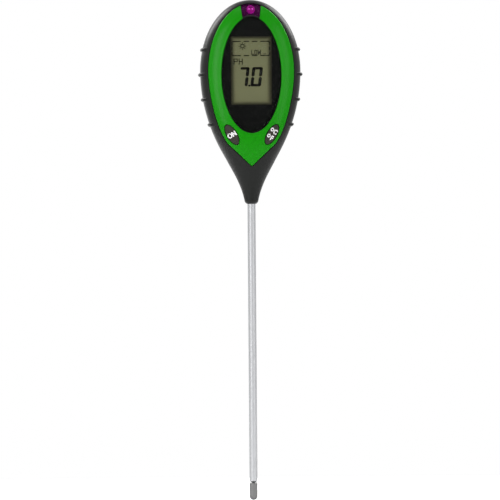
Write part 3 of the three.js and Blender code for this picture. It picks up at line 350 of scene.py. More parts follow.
def lathe(name, profile, sides=48, axis="z", at=(0, 0, 0)):
    """A profile of (radius, height) points turned about an axis through a point. It starts and ends
    on the axis, or comes back to its start."""
    loop = profile[0] == profile[-1]
    points = profile[:-1] if loop else [p for p in profile if p[0] > 0]
    turn = np.linspace(0, 2 * math.pi, sides, endpoint=False)
    order = {"z": (0, 1, 2), "y": (0, 2, 1), "x": (2, 1, 0)}[axis]
    rings = []
    for radius, height in points:
        ring = np.stack([radius * np.cos(turn), radius * np.sin(turn), np.full(sides, height)], 1)
        rings.append(ring[:, order] + np.array(at))
    return skin(name, rings, closed_loop=loop)


def rod(radius, low, high, axis="z", at=(0, 0, 0), sides=48):
    return lathe("rod", [(0, low), (radius, low), (radius, high), (0, high)], sides, axis, at)


def edge_round(radius, steps):
    """How far in and how deep a rounded edge runs, from its wall round to its face."""
    turn = np.linspace(0, math.pi / 2, steps + 1)
    return [(radius * (1 - math.cos(a)), radius * (1 - math.sin(a))) for a in turn]


def rounded(radius, low, high, bevel):
    """The profile of a disc or rod with rounded ends, for lathe()."""
    rim = edge_round(bevel, 4)
    lower = [(radius - drawn, low + sunk) for drawn, sunk in reversed(rim)]
    upper = [(radius - drawn, high - sunk) for drawn, sunk in rim]
    return [(0, low), *lower, *upper, (0, high)]


# ---- Outlines on the face ----

OUTLINE_POINTS = 320  # round the bezel


def way_round(outline):
    """How far round a closed outline each point is, and last the whole way."""
    return np.append(0, np.cumsum(np.hypot(*(np.roll(outline, -1, 0) - outline).T)))


def resample(points, count):
    """A closed outline at even steps."""
    closed, length = np.vstack([points, points[:1]]), way_round(points)
    at = np.linspace(0, length[-1], count, endpoint=False)
    return np.stack([np.interp(at, length, closed[:, i]) for i in (0, 1)], 1)


def soften(outline, passes):
    """A closed outline with its corners eased a little."""
    for _ in range(passes):
        outline = (np.roll(outline, 1, 0) + 2 * outline + np.roll(outline, -1, 0)) / 4
    return outline


def offset(outline, distance):
    """An anticlockwise outline moved outwards by a distance."""
    along = np.roll(outline, -1, 0) - np.roll(outline, 1, 0)
    normal = np.stack([along[:, 1], -along[:, 0]], 1) / np.hypot(*along.T)[:, None]
    return outline + normal * distance


def ellipse(x, z, half_width, half_height, tilt=0.0, count=160):
    turn = np.linspace(0, 2 * math.pi, count, endpoint=False)
    u, v = half_width * np.cos(turn), half_height * np.sin(turn)
    c, s = math.cos(tilt), math.sin(tilt)
    return np.stack([x + c * u - s * v, z + s * u + c * v], 1)


def rounded_box(x0, x1, z0, z1, radius, steps=8):
    points = []
    for cx, cz, start in (
        (x1 - radius, z0 + radius, -90),
        (x1 - radius, z1 - radius, 0),
        (x0 + radius, z1 - radius, 90),
        (x0 + radius, z0 + radius, 180),
    ):
        for i in range(steps + 1):
            a = math.radians(start + 90 * i / steps)
            points.append((cx + radius * math.cos(a), cz + radius * math.sin(a)))
    return np.array(points)


BEZEL_HALF = HALF_WIDTH - 4.3
BEZEL_TOP = TOP_Z - 2.5
BEZEL_WIDEST = WIDEST_Z - 0.7
BEZEL_CORNER = (11.9, WIDEST_Z - 46.2)
BEZEL_POINT = WIDEST_Z - 57.5


def bezel_side():
    """The right half of the bezel's outline, from its bottom point up to its top."""
    quarter = np.linspace(0, math.pi / 2, 90)
    rise = BEZEL_TOP - BEZEL_WIDEST
    top = np.stack([BEZEL_HALF * np.cos(quarter), BEZEL_WIDEST + rise * np.sin(quarter)], 1)
    heights, reaches = bezier_table(
        (BEZEL_HALF, BEZEL_WIDEST),
        (BEZEL_HALF, BEZEL_WIDEST - 13.5),
        (BEZEL_CORNER[0] + 8.2, BEZEL_CORNER[1] + 5.9),
        BEZEL_CORNER,
    )
    side = np.stack([reaches, heights], 1)[::8]
    return np.vstack([[(0, BEZEL_POINT)], side[:-1], top])


def mirrored(side):
    """A whole anticlockwise outline from its right half, which runs upwards."""
    left = side[1:-1][::-1] * (-1, 1)
    return np.vstack([side, left])


BEZEL_OUTLINE = soften(resample(mirrored(bezel_side()), 4 * OUTLINE_POINTS), 6)[::4]
BAR = 0.9  # height of the black bar between the window and the sensor slot
WINDOW_TRIM = 1.4  # how far its top edge lies under the CAD lens's
WINDOW_LOW, WINDOW_HIGH = lens_low[2] - GAP, lens_high[2] + GAP - WINDOW_TRIM
WINDOW_Z = (WINDOW_LOW + WINDOW_HIGH) / 2
WINDOW_HALF = (lens_high[0] + GAP, (WINDOW_HIGH - WINDOW_LOW) / 2)
SENSOR_Z = WIDEST_Z + 36.4
SENSOR_HALF = 5.75
SENSOR_FLARE = 0.14
SENSOR_REACH = 8
KEY_PLACE = (12.0, WIDEST_Z - 38.6)
KEY_HALF = (2.8, 6.6)
KEY_TILT = math.radians(31)


def window_oval(inset):
    """The edge of what lies in the window's opening, so far inside it."""
    return ellipse(0, WINDOW_Z, WINDOW_HALF[0] - inset, WINDOW_HALF[1] - inset, 0, 240)


def above_window(x, rise):
    """Height of the window's upper edge at x, moved outwards by so much."""
    return WINDOW_Z + (WINDOW_HALF[1] + rise) * np.sqrt(1 - (x / (WINDOW_HALF[0] + rise)) ** 2)


def sensor_half(z):
    """Half the sensor slot's width at height z."""
    return SENSOR_HALF + SENSOR_FLARE * (z - SENSOR_Z)


def sensor_outline(rise, grow=0.0):
    """The slot that starts so far above the window's edge and flares upwards; anticlockwise."""
    corner = sensor_half(WINDOW_HIGH + rise) + grow
    across = np.linspace(-corner, corner, 25)
    top = SENSOR_Z + SENSOR_REACH
    half = sensor_half(top) + grow
    arc = np.stack([across, above_window(across, rise)], 1)
    return np.vstack([arc, [(half, top), (-half, top)]])


def key_outline(side, grow=0.0, count=96):
    x, z = side * KEY_PLACE[0], KEY_PLACE[1]
    return ellipse(x, z, KEY_HALF[0] + grow, KEY_HALF[1] + grow, -side * KEY_TILT, count)


def flat_ring(outline, y, grow=0.0):
    """An outline of (x, z) points at one depth, moved outwards by so much."""
    return np.insert(offset(outline, grow), 1, y, axis=1)


def follow(outline, depth, sunk=0.0):
    """The outline laid on the surface depth(x, z), or so far behind it."""
    return np.stack([outline[:, 0], depth(outline[:, 0], outline[:, 1]) + sunk, outline[:, 1]], 1)


def rounded_cutter(outline, depth, round_):
    """Cuts an outline through a face and leaves its edge rounded, on the surface depth(x, z)."""
    rings = [flat_ring(outline, 0.0)]
    for drawn, sunk in edge_round(round_, 5):
        rings.append(follow(offset(outline, drawn), depth, sunk))
    outer = rings[-1].copy()
    outer[:, 1] = -FAR
    return skin("cutter", [*rings, outer])


# ---- Finishes ----

def node_tree(name):
    """A new material, its empty node tree and the socket for its surface shader."""
    material = bpy.data.materials.new(name)
    material.use_nodes = True
    tree = material.node_tree
    tree.nodes.clear()
    return material, tree, tree.nodes.new("ShaderNodeOutputMaterial").inputs["Surface"]


def node_output(tree, kind, inputs=None, result=0, **settings):
    """One output of a new shader node, its settings made and its inputs linked or set."""
    node = tree.nodes.new("ShaderNode" + kind)
    for name, value in settings.items():
        setattr(node, name, value)
    for name, value in (inputs or {}).items():
        if isinstance(value, bpy.types.NodeSocket):
            tree.links.new(value, node.inputs[name])
        else:
            node.inputs[name].default_value = value
    return node.outputs[result]


def noise(tree, size, stretch=(1, 1, 1), detail=2.0):
    """Noise in object space, its features about size millimetres across."""
    where = node_output(tree, "TexCoord", result="Object")
    mapped = node_output(tree, "Mapping", {"Vector": where, "Scale": stretch})
    return node_output(tree, "TexNoise", {"Vector": mapped, "Scale": 1 / (size * MM), "Detail": detail})


def spread(tree, value, low, high, start=0.3, end=0.7, **settings):
    """A value that runs from start to end, as one that runs from low to high."""
    inputs = {"Value": value, "From Min": start, "From Max": end, "To Min": low, "To Max": high}
    return node_output(tree, "MapRange", inputs, **settings)


def blended(tree, factor, a, b):
    """Colour a where the factor is 0, and colour b where it is 1."""
    inputs = {"Factor": factor, "A": (*a, 1), "B": (*b, 1)}
    return node_output(tree, "Mix", inputs, "Result", data_type="RGBA")


def linear(red, green, blue):
    """An 8-bit screen colour as the shader's own."""
    def one(v):
        v /= 255
        return v / 12.92 if v <= 0.04045 else ((v + 0.055) / 1.055) ** 2.4
    return tuple(one(v) for v in (red, green, blue))


def patches(tree, colour, vary, size, stretch=(1, 1, 1), detail=2.0):
    """A colour in soft patches, by up to so much darker or lighter."""
    darker = tuple(c * (1 - vary) for c in colour)
    lighter = tuple(min(1, c * (1 + vary)) for c in colour)
    return blended(tree, noise(tree, size, stretch, detail), darker, lighter)


def plastic(name, colour, rough, grain=0.3, bump=0.01, vary=0.12, patch=9.0, metal=0.0,
            stretch=(1, 1, 1), specular=0.5):
    """A moulded, drawn or printed finish: colour in soft patches, a fine grain in gloss and relief."""
    material, tree, surface = node_tree(name)
    fine = noise(tree, grain, stretch)
    shader = node_output(tree, "BsdfPrincipled", {
        "Base Color": patches(tree, linear(*colour), vary, patch, stretch, 3.0),
        "Metallic": metal,
        "Roughness": spread(tree, fine, rough * 0.88, min(1, rough * 1.12)),
        "Specular IOR Level": specular,
        "Normal": node_output(tree, "Bump", {"Strength": 1.0, "Distance": bump * MM, "Height": fine}),
    })
    tree.links.new(shader, surface)
    return material


def clear(name, tint, body, share, rough, index):
    """Clear moulded plastic: it mirrors at its surface, lets the tint through, and holds a little
    body colour of its own."""
    material, tree, surface = node_tree(name)
    through = node_output(tree, "BsdfTransparent", {"Color": (*tint, 1)})
    held = node_output(tree, "BsdfPrincipled", {
        "Base Color": patches(tree, linear(*body), 0.15, 4.0),
        "Roughness": rough,
        "Specular IOR Level": 0.1,
    })
    gloss = node_output(tree, "BsdfGlossy", {"Roughness": rough})
    fresnel = node_output(tree, "Fresnel", {"IOR": index})
    solid = node_output(tree, "MixShader", {"Fac": share, 1: through, 2: held})
    tree.links.new(node_output(tree, "MixShader", {"Fac": fresnel, 1: solid, 2: gloss}), surface)
    return material


VIEW_HALF_WIDTH = 12.3
VIEW_LOW, VIEW_HIGH = WIDEST_Z - 20.7, WIDEST_Z + 20.3


def from_edge(tree, axis, low, high, reach):
    """1 at the ends of a span along an axis of the object, easing to 0 at so far inside them."""
    where = node_output(tree, "TexCoord", result="Object")
    along = node_output(tree, "SeparateXYZ", {"Vector": where}, axis)
    away = node_output(tree, "Math", {0: along, 1: (low + high) / 2 * MM}, operation="SUBTRACT")
    size = node_output(tree, "Math", {0: away}, operation="ABSOLUTE")
    half = (high - low) / 2
    return spread(tree, size, 0.0, 1.0, (half - reach) * MM, half * MM, interpolation_type="SMOOTHSTEP")


def display_colour_painted_shade(name, middle, edge):
    """The display's grey-green with painted shade: the colour darkens towards the rim of the opening,
    where the opening shades it.
    """
    material, tree, surface = node_tree(name)
    across = from_edge(tree, "X", -VIEW_HALF_WIDTH, VIEW_HALF_WIDTH, 3.4)
    along = from_edge(tree, "Z", VIEW_LOW, VIEW_HIGH, 2.6)
    # painted shade: the base colour runs from the middle colour to the darker edge colour within 3.4 mm
    # across and 2.6 mm along of the opening's rim
    shade = node_output(tree, "Math", {0: across, 1: along}, operation="MAXIMUM")
    shader = node_output(tree, "BsdfPrincipled", {
        "Base Color": blended(tree, shade, linear(*middle), linear(*edge)),
        "Roughness": spread(tree, noise(tree, 0.5), 0.32, 0.4),
        "Specular IOR Level": 0.08,
    })
    tree.links.new(shader, surface)
    return material


BLACK_PLASTIC = plastic("black_plastic", (12, 14, 12), 0.36, 0.35, 0.012, specular=0.2)
GREEN_PLASTIC = plastic("green_plastic", (16, 136, 0), 0.28, 0.6, 0.004, 0.05, specular=0.11)
WINDOW_CLEAR = clear("window_clear", (0.97, 0.97, 0.96), (20, 21, 21), 0.02, 0.06, 1.08)
WINDOW_PRINT = plastic("window_print", (14, 15, 15), 0.4, bump=0.003, specular=0.03)
PURPLE_CLEAR = clear("purple_clear", linear(252, 208, 249), (116, 2, 106), 0.08, 0.2, 1.05)
KEY_RUBBER = plastic("key_rubber", (57, 54, 50), 0.6, grain=0.2, bump=0.02, specular=0.08)
WHITE_INK = plastic("white_ink", (236, 234, 236), 0.5, grain=0.15, bump=0.004, vary=0.03)
# The display glass has painted shade: its colour darkens from (119, 121, 91) in the middle to (58, 57,
# 43) at the opening's rim
LCD_GLASS_PAINTED_SHADE = display_colour_painted_shade("lcd_glass", (119, 121, 91), (58, 57, 43))
LCD_INK = plastic("lcd_ink", (8, 8, 5), 0.6, bump=0.001, vary=0.1, specular=0.1)
LCD_FAINT = plastic("lcd_faint", (34, 35, 26), 0.6, bump=0.001, vary=0.1, specular=0.1)
TUBE_STEEL = plastic("tube_steel", (164, 165, 167), 0.48, 0.25, 0.006, 0.06, 6.0, 1.0, (1, 1, 0.03))
TIP_STEEL = plastic("tip_steel", (110, 110, 110), 0.5, 0.25, 0.008, 0.08, 3.0, 1.0, (1, 1, 0.15))
SCREW_STEEL = plastic("screw_steel", (170, 170, 168), 0.3, 0.2, 0.006, 0.1, 2.0, 1.0)
BRASS = plastic("brass", (182, 150, 84), 0.3, 0.2, 0.006, 0.1, 2.0, 1.0)
NYLON = plastic("nylon", (217, 214, 200), 0.5, vary=0.05)
BOARD = plastic("board", (31, 92, 56), 0.35, grain=0.5, vary=0.2, patch=3.0)
SILICONE = plastic("silicone", (48, 50, 54), 0.65, bump=0.02)
EPOXY = plastic("epoxy", (18, 18, 18), 0.25, grain=0.8, bump=0.02)
CERAMIC = plastic("ceramic", (206, 88, 184), 0.45, grain=0.2, specular=0.1)
TRACK = plastic("track", (170, 60, 130), 0.4, grain=0.1, bump=0.004, specular=0.1)
TIN = plastic("tin", (250, 250, 248), 0.2, 0.15, 0.01, 0.02, 1.0, 1.0)
BATTERY_PAINT = plastic("battery_paint", (52, 56, 62), 0.35, 0.4, 0.004, 0.1, 12.0, 0.4)
BATTERY_STEEL = plastic("battery_steel", (178, 178, 176), 0.28, 0.2, 0.004, 0.06, 6.0, 1.0)
RED_VINYL = plastic("red_vinyl", (176, 24, 24), 0.4)
BLACK_VINYL = plastic("black_vinyl", (24, 24, 24), 0.4)
WHITE_VINYL = plastic("white_vinyl", (208, 208, 204), 0.4)
DARK_NYLON = plastic("dark_nylon", (44, 45, 47), 0.5)


def paint(obj, material):
    """Gives an object one material all over."""
    obj.data.materials.clear()
    obj.data.materials.append(material)


def place(obj, material, slot, *nodes, body=HOUSING):
    """Gives a piece its shading, finish and body, and hides the CAD nodes it stands for."""
    obj.data.shade_smooth()
    obj.data.set_sharp_from_angle(angle=SHARP)
    paint(obj, material)
    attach(obj, body)
    if nodes:
        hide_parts(*nodes)


# ---- Housing ----

SKIN_LAYER = 1.6
CORE_INSET = 1.2
FOOT = 1.0  # how far a cutting head reaches below the mouth
BORE_REACH = 5.0  # the bore's cutter, below the mouth and above it
BORE_DEPTH = 12.0
BED_ROUND = 0.35
BED_CORE = (0.9, GAP + BEZEL_THICKNESS, 1.1)  # insets of what the bezel's bed is cut down to


def head_heights(fine):
    """Ring heights up the head, closer together at the ribs, the mouth and the crown."""
    count = 58 if fine else 30
    lower = np.linspace(MOUTH_Z, WIDEST_Z, count, endpoint=False)
    crown = np.sin(np.linspace(0, math.pi / 2, 44 if fine else 24, endpoint=False))
    heights = np.append(lower, WIDEST_Z + CROWN_HEIGHT * crown)
    if not fine:
        return heights
    clear_of_ribs = [z for z in heights if min(abs(z - r) for r in RIB_LEVELS) > 1.2 * RIB_HALF_HEIGHT]
    turn = np.linspace(-math.pi / 2, math.pi / 2, 15)
    ribs = [r + RIB_HALF_HEIGHT * math.sin(a) for r in RIB_LEVELS for a in turn]
    ribs += [r + s * 1.15 * RIB_HALF_HEIGHT for r in RIB_LEVELS for s in (-1, 1)]
    mouth = MOUTH_Z + MOUTH_ROUND * (1 - np.cos(np.linspace(0, math.pi / 2, 9)))[1:]
    return np.array(sorted([*clear_of_ribs, *ribs, *mouth]))


def head_solid(insets=None):
    """The head with its fine skin. Given (side, front, back) insets, a plainer one for cutting with,
    drawn in by them, that reaches below the mouth."""
    fine = insets is None
    insets = insets or (0.0, 0.0, 0.0)
    side = insets[0]
    rings = []
    for z in head_heights(fine):
        at = z if z <= WIDEST_Z else WIDEST_Z + (z - WIDEST_Z) * (CROWN_HEIGHT - side) / CROWN_HEIGHT
        rings.append(head_ring(at, insets, fine))
    if not fine:
        rings.insert(0, rings[0] - (0, 0, FOOT))
    tip = rings[-1] * (0.02, 0.02, 0)
    tip[:, 2] = shell_high[2] - side
    return skin("head", [*rings, tip])


def tube_bore():
    """The hole in the neck that the tube goes into."""
    return rod(tube_high[0] + GAP, MOUTH_Z - BORE_REACH, MOUTH_Z + BORE_DEPTH)


def half_shell(node, y0, y1, crown=0.0):
    """One half of the head between two depths: its fine skin over what the CAD node has inside."""
    shell = head_solid()
    cut(shell, head_solid((SKIN_LAYER, SKIN_LAYER, SKIN_LAYER + crown)))
    keep(shell, slab(-FAR, FAR, y0, y1, 0, TOP_Z + FAR))
    return add(shell, keep(cad_copy(node), head_solid((CORE_INSET, CORE_INSET, CORE_INSET + crown))))


def front_shell():
    """The front half, with the bezel's bed and the light cell's well."""
    shell = half_shell("front_shell", -FAR, -SEAM_HALF_GAP)
    bed = rounded_cutter(offset(BEZEL_OUTLINE, GAP), face_y, BED_ROUND)
    cut(bed, head_solid(BED_CORE))
    cell_well = rod(cell_high[0] + GAP, -FAR, 0.0, "y", (0, 0, SENSOR_Z))
    cut(shell, bed, tube_bore(), cell_well)
    place(shell, BLACK_PLASTIC, "housing_black", "front_shell")


SCREW_PLACES = {
    name: tuple((a + b) / 2 for a, b in zip(*corners(name)))
    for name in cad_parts
    if name.startswith("housing_screw")
}
HINGE_Y = BACK_FLAT - 1.6
HINGE_Z = door_low[2] + 1.6
BARREL_RADIUS = 1.6
PIN_RADIUS = 0.7
PIN_LENGTH = 1.2
DOOR_HALF = door_high[0] - PIN_LENGTH
DOOR_TOP = door_high[2]
DOOR_CORNER = 2.0
DOOR_THICKNESS = 2.0
SCREW_HOLE = 2.5


def door_outline(low, grow=0.0):
    """Square at the hinge, rounded at the top; anticlockwise seen from the front."""
    half, top, corner = DOOR_HALF + grow, DOOR_TOP + grow, DOOR_CORNER + grow
    turn = np.linspace(0, math.pi / 2, 11)
    arc = np.stack([half - corner + corner * np.cos(turn), top - corner + corner * np.sin(turn)], 1)
    return np.vstack([[(half, low)], arc, arc[::-1] * (-1, 1), [(-half, low)]])


def chamfered_back_cutter(outline, front, chamfer):
    """Cuts an outline in from the flat back down to depth front, with a chamfered rim."""
    levels = [(0, front), (0, BACK_FLAT - chamfer), (chamfer, BACK_FLAT), (chamfer, FAR)]
    return skin("cutter", [flat_ring(outline, y, grow) for grow, y in levels])


def thumb_scoop():
    """The ball that hollows a place for a thumb over the door's latch."""
    radius, depth = 8.0, 1.5
    centre = (0, BACK_FLAT + radius - depth, DOOR_TOP + GAP + 1.4)
    turn = np.linspace(-math.pi / 2, math.pi / 2, 33)[1:-1]
    arc = [(radius * math.cos(a), radius * math.sin(a)) for a in turn]
    return lathe("scoop", [(0, -radius), *arc, (0, radius)], 64, "y", centre)


def rear_shell():
    """The back half, with the battery door's recess and hinge, and the screws' holes."""
    shell = half_shell("rear_shell", SEAM_HALF_GAP, FAR, BACK_DEPTH - BACK_FLAT)
    barrel_low = HINGE_Z - BARREL_RADIUS - GAP
    ledge = BACK_FLAT - DOOR_THICKNESS - GAP
    hinge = (0, HINGE_Y, HINGE_Z)
    cut(
        shell,
        chamfered_back_cutter(door_outline(barrel_low, GAP), ledge, 0.25),
        rod(BARREL_RADIUS + GAP, -DOOR_HALF - GAP, DOOR_HALF + GAP, "x", hinge),
        rod(PIN_RADIUS + GAP, -door_high[0] - GAP, door_high[0] + GAP, "x", hinge),
        thumb_scoop(),
        tube_bore(),
        *(rod(SCREW_HOLE, 8.0, FAR, "y", (x, 0, z)) for x, _, z in SCREW_PLACES.values()),
    )
    place(shell, BLACK_PLASTIC, "housing_black", "rear_shell")


def housing_screw(name):
    """A pan-head screw with a cross recess, driven from the back."""
    x, _, z = SCREW_PLACES[name]
    low, high = corners(name)
    shank, head, head_height, dome = 1.3, 2.2, 1.6, 0.8
    cross_reach, cross_half, cross_depth = 1.3, 0.28, 0.9
    seat = high[1] - head_height
    profile = [(0, low[1]), (0.5, low[1]), (shank, low[1] + 1.2), (shank, seat), (head, seat)]
    for a in np.linspace(0, math.pi / 2, 7):
        profile.append((shank + (head - shank) * math.cos(a), high[1] - dome + dome * math.sin(a)))
    profile.append((0, high[1]))
    screw = lathe(name, profile, 48, "y", (x, 0, z))
    for wide, tall in ((cross_reach, cross_half), (cross_half, cross_reach)):
        cut(screw, slab(x - wide, x + wide, high[1] - cross_depth, FAR, z - tall, z + tall))
    place(screw, SCREW_STEEL, "screw_steel", name)


# ---- Battery door ----

LATCH_HALF = 5.5
LATCH_SLOT = 1.0
LATCH_LENGTH = 9.0
GRIP_HALF = 4.2
GRIP_DROP = 7.2


def battery_door():
    """The lid over the battery: barrel and pins at its foot, a sprung latch and ridges at its top."""
    inner = BACK_FLAT - DOOR_THICKNESS
    hinge = (0, HINGE_Y, HINGE_Z)
    outline = door_outline(HINGE_Z)
    rings = [flat_ring(outline, inner, -0.2), flat_ring(outline, inner + 0.2)]
    rings += [flat_ring(outline, BACK_FLAT - sunk, -drawn) for drawn, sunk in edge_round(0.35, 4)]
    door = skin("door", rings)
    pins = lathe("pin", rounded(PIN_RADIUS, -door_high[0], door_high[0], 0.2), 32, "x", hinge)
    add(door, rod(BARREL_RADIUS, -DOOR_HALF, DOOR_HALF, "x", hinge), pins)
    for side in (-1, 1):
        slot_x = sorted((side * LATCH_HALF, side * (LATCH_HALF + LATCH_SLOT)))
        slot = rounded_box(*slot_x, DOOR_TOP - LATCH_LENGTH, DOOR_TOP + FAR, 0.45)
        cut(door, prism(slot, 0, FAR))
    grip_low = DOOR_TOP - GRIP_DROP
    grip = rounded_box(-GRIP_HALF, GRIP_HALF, grip_low, DOOR_TOP - 1.6, 0.8)
    cut(door, prism(grip, BACK_FLAT - 0.5, FAR))
    for i in range(4):
        at = (0, BACK_FLAT - 0.42, grip_low + 0.9 + 1.25 * i)
        add(door, lathe("ridge", rounded(0.32, 0.4 - GRIP_HALF, GRIP_HALF - 0.4, 0.25), 24, "x", at))
    place(door, BLACK_PLASTIC, "housing_black", "battery_door", body="battery_door")


# ---- Face ----

EDGE = 0.42
BAND_CROWN = 0.12
KEY_FLANGE = 0.9
KEY_FLANGE_THICKNESS = 1.0
KEY_EDGE = 0.55
KEY_CROWN = 0.12


def bezel_surface(x, z):
    """Depth of the bezel's front at (x, z)."""
    return face_y(x, z, BEZEL_PROUD)


def matched_window():
    """Points of the window's oval that face the bezel outline's points, from its bottom round."""
    length = way_round(BEZEL_OUTLINE)
    share = length[:-1] / length[-1]
    start = share[np.argmin(BEZEL_OUTLINE[:, 1])]
    count = 4000
    oval = np.roll(ellipse(0, WINDOW_Z, *WINDOW_HALF, 0, count), count // 4, 0)
    oval = resample(oval, count)
    at = ((share - start) % 1) * count
    return np.stack([np.interp(at, np.arange(count), oval[:, i], period=count) for i in (0, 1)], 1)


def bezel():
    """The green face ring: a band that follows the head, its edges rounded over."""
    outer, inner = BEZEL_OUTLINE, matched_window()
    bed = BEZEL_THICKNESS + BEZEL_PROUD
    edge = edge_round(EDGE, 5)
    rings = [follow(outer, bezel_surface, bed)]
    rings += [follow(offset(outer, -drawn), bezel_surface, sunk) for drawn, sunk in edge]
    band_outer, band_inner = offset(outer, -EDGE), offset(inner, EDGE)
    for share in np.linspace(0, 1, 14)[1:-1]:
        between = band_outer * (1 - share) + band_inner * share
        rings.append(follow(between, bezel_surface, BAND_CROWN * (2 * share - 1) ** 2))
    rings += [follow(offset(inner, drawn), bezel_surface, sunk) for drawn, sunk in reversed(edge)]
    rings.append(follow(inner, bezel_surface, bed))
    band = skin("bezel_band", rings, closed_loop=True)
    cut(band, rounded_cutter(resample(sensor_outline(-1.5), 200), bezel_surface, 0.3))
    for side in (-1, 1):
        cut(band, rounded_cutter(key_outline(side, 0.35), bezel_surface, 0.3))
    place(band, GREEN_PLASTIC, "bezel_green", "bezel")


def display_lens():
    """A clear oval plate with a rounded front edge."""
    outline = window_oval(GAP)
    rings = [flat_ring(outline, lens_high[1])]
    rings += [flat_ring(outline, lens_low[1] + sunk, -drawn) for drawn, sunk in edge_round(0.45, 5)]
    lens = skin("display_window", rings)
    place(lens, WINDOW_CLEAR, "display_window", "display_lens")


def window_print():
    """The black print on the back of the window, open over the display."""
    back = lens_high[1]
    sheet = prism(window_oval(GAP + 0.02), back + 0.02, back + 0.1)
    sheet.name = "window_print"
    opening = rounded_box(-VIEW_HALF_WIDTH, VIEW_HALF_WIDTH, VIEW_LOW, VIEW_HIGH, 0.5)
    cut(sheet, prism(opening, -FAR, FAR))
    place(sheet, WINDOW_PRINT, "display_window")


def face_plate(outline, thickness, edge):
    """A plate of some thickness that follows the head's skin inside an outline."""
    centre = outline.mean(0)
    inner = offset(outline, -edge)
    shares = (0.02, 0.25, 0.5, 0.75)
    rings = [follow(centre + (outline - centre) * share, face_y, thickness) for share in (*shares, 1)]
    rings += [follow(offset(outline, -drawn), face_y, sunk) for drawn, sunk in edge_round(edge, 4)]
    rings += [follow(centre + (inner - centre) * share, face_y) for share in reversed(shares)]
    return skin("plate", rings)


def sensor_lens():
    """The purple window over the light cell: it follows the head between the bezel's ends."""
    pane = face_plate(resample(sensor_outline(BAR + 0.1, -0.15), 240), 1.5, 0.3)
    keep(pane, prism(offset(BEZEL_OUTLINE, -0.05), -FAR, FAR))
    pane.name = "sensor_window"
    place(pane, PURPLE_CLEAR, "sensor_window", "light_sensor_lens")


def window_bar():
    """The thin black bar that parts the sensor window from the display window."""
    reach = sensor_half(WINDOW_HIGH) - 0.1
    across = np.linspace(-reach, reach, 41)
    lower = np.stack([across, above_window(across, 0.05)], 1)
    upper = np.stack([across, above_window(across, BAR)], 1)[::-1]
    outline = np.vstack([lower, upper])
    edge = ((0, 1.5), (0, 0.15), (0.05, 0.05), (0.15, 0))
    piece = skin("window_bar", [follow(offset(outline, -drawn), face_y, sunk) for drawn, sunk in edge])
    place(piece, BLACK_PLASTIC, "housing_black")


def key_top(x, z):
    """Depth of the surface that a key's crown reaches at (x, z)."""
    return face_y(x, z, KEY_PROUD)


def key(node, side):
    """A soft key: flange, wall, rounded edge and a slightly crowned top."""
    back = corners(node)[1][1]
    front = back - KEY_FLANGE_THICKNESS
    bevel = 0.15
    levels = (
        (KEY_FLANGE - bevel, back),
        (KEY_FLANGE, back - bevel),
        (KEY_FLANGE, front + bevel),
        (KEY_FLANGE - bevel, front),
        (bevel, front),
        (0, front - bevel),
    )
    rings = [flat_ring(key_outline(side, grow), y) for grow, y in levels]
    for drawn, sunk in edge_round(KEY_EDGE, 6):
        rings.append(follow(key_outline(side, -drawn), key_top, KEY_CROWN + sunk))
    centre = np.array([side * KEY_PLACE[0], KEY_PLACE[1]])
    inner = key_outline(side, -KEY_EDGE)
    for share in np.linspace(1, 0.03, 10)[1:]:
        rings.append(follow(centre + (inner - centre) * share, key_top, KEY_CROWN * share**2))
    place(skin(node + "_cap", rings), KEY_RUBBER, "key_rubber", node, body=node)


def key_surface(side):
    """Depth of a key's crowned top, as a function of (x, z)."""
    tilt = -side * KEY_TILT

    def depth(x, z):
        dx, dz = x - side * KEY_PLACE[0], z - KEY_PLACE[1]
        u = dx * math.cos(tilt) + dz * math.sin(tilt)
        v = -dx * math.sin(tilt) + dz * math.cos(tilt)
        share = np.hypot(u / (KEY_HALF[0] - KEY_EDGE), v / (KEY_HALF[1] - KEY_EDGE))
        return key_top(x, z) + KEY_CROWN * np.clip(share, 0, 1) ** 2

    return depth


PRINT_HEIGHT = 0.04
FONT_CAPITAL = 0.7  # height of a capital in the built-in font at size 1


def lettering(name, text, height, weight, centre, turn, depth, squeeze):
    """Printed characters laid on the surface depth(x, z), round a centre and turned."""
    curve = bpy.data.curves.new(name, "FONT")
    curve.body = text
    curve.size = 1.0
    curve.offset = weight
    curve.resolution_u = 6
    holder = bpy.data.objects.new(name + "_curve", curve)
    bpy.context.collection.objects.link(holder)
    flat = bpy.data.meshes.new_from_object(holder.evaluated_get(bpy.context.evaluated_depsgraph_get()))
    bpy.data.objects.remove(holder)
    points = np.array([v.co for v in flat.vertices])[:, :2]
    middle = (points.max(0) + points.min(0)) / 2
    points = (points - middle) * height / FONT_CAPITAL * (squeeze, 1)
    c, s = math.cos(turn), math.sin(turn)
    x = centre[0] + c * points[:, 0] - s * points[:, 1]
    z = centre[1] + s * points[:, 0] + c * points[:, 1]
    y = depth(x, z)
    front = np.stack([x, y - PRINT_HEIGHT, z], 1)
    back = np.stack([x, y + 0.02, z], 1)
    count = len(x)
    faces = [tuple(p.vertices) for p in flat.polygons]
    edges = {(a, b) for face in faces for a, b in zip(face, face[1:] + face[:1])}
    walls = [(a, b, b + count, a + count) for a, b in sorted(edges) if (b, a) not in edges]
    fronts = [face[::-1] for face in faces]
    backs = [tuple(i + count for i in face) for face in faces]
    return mesh_object(name, np.vstack([front, back]), fronts + backs + walls)


KEY_LETTER = 2.7
KEY_LETTER_WEIGHT = 0.05


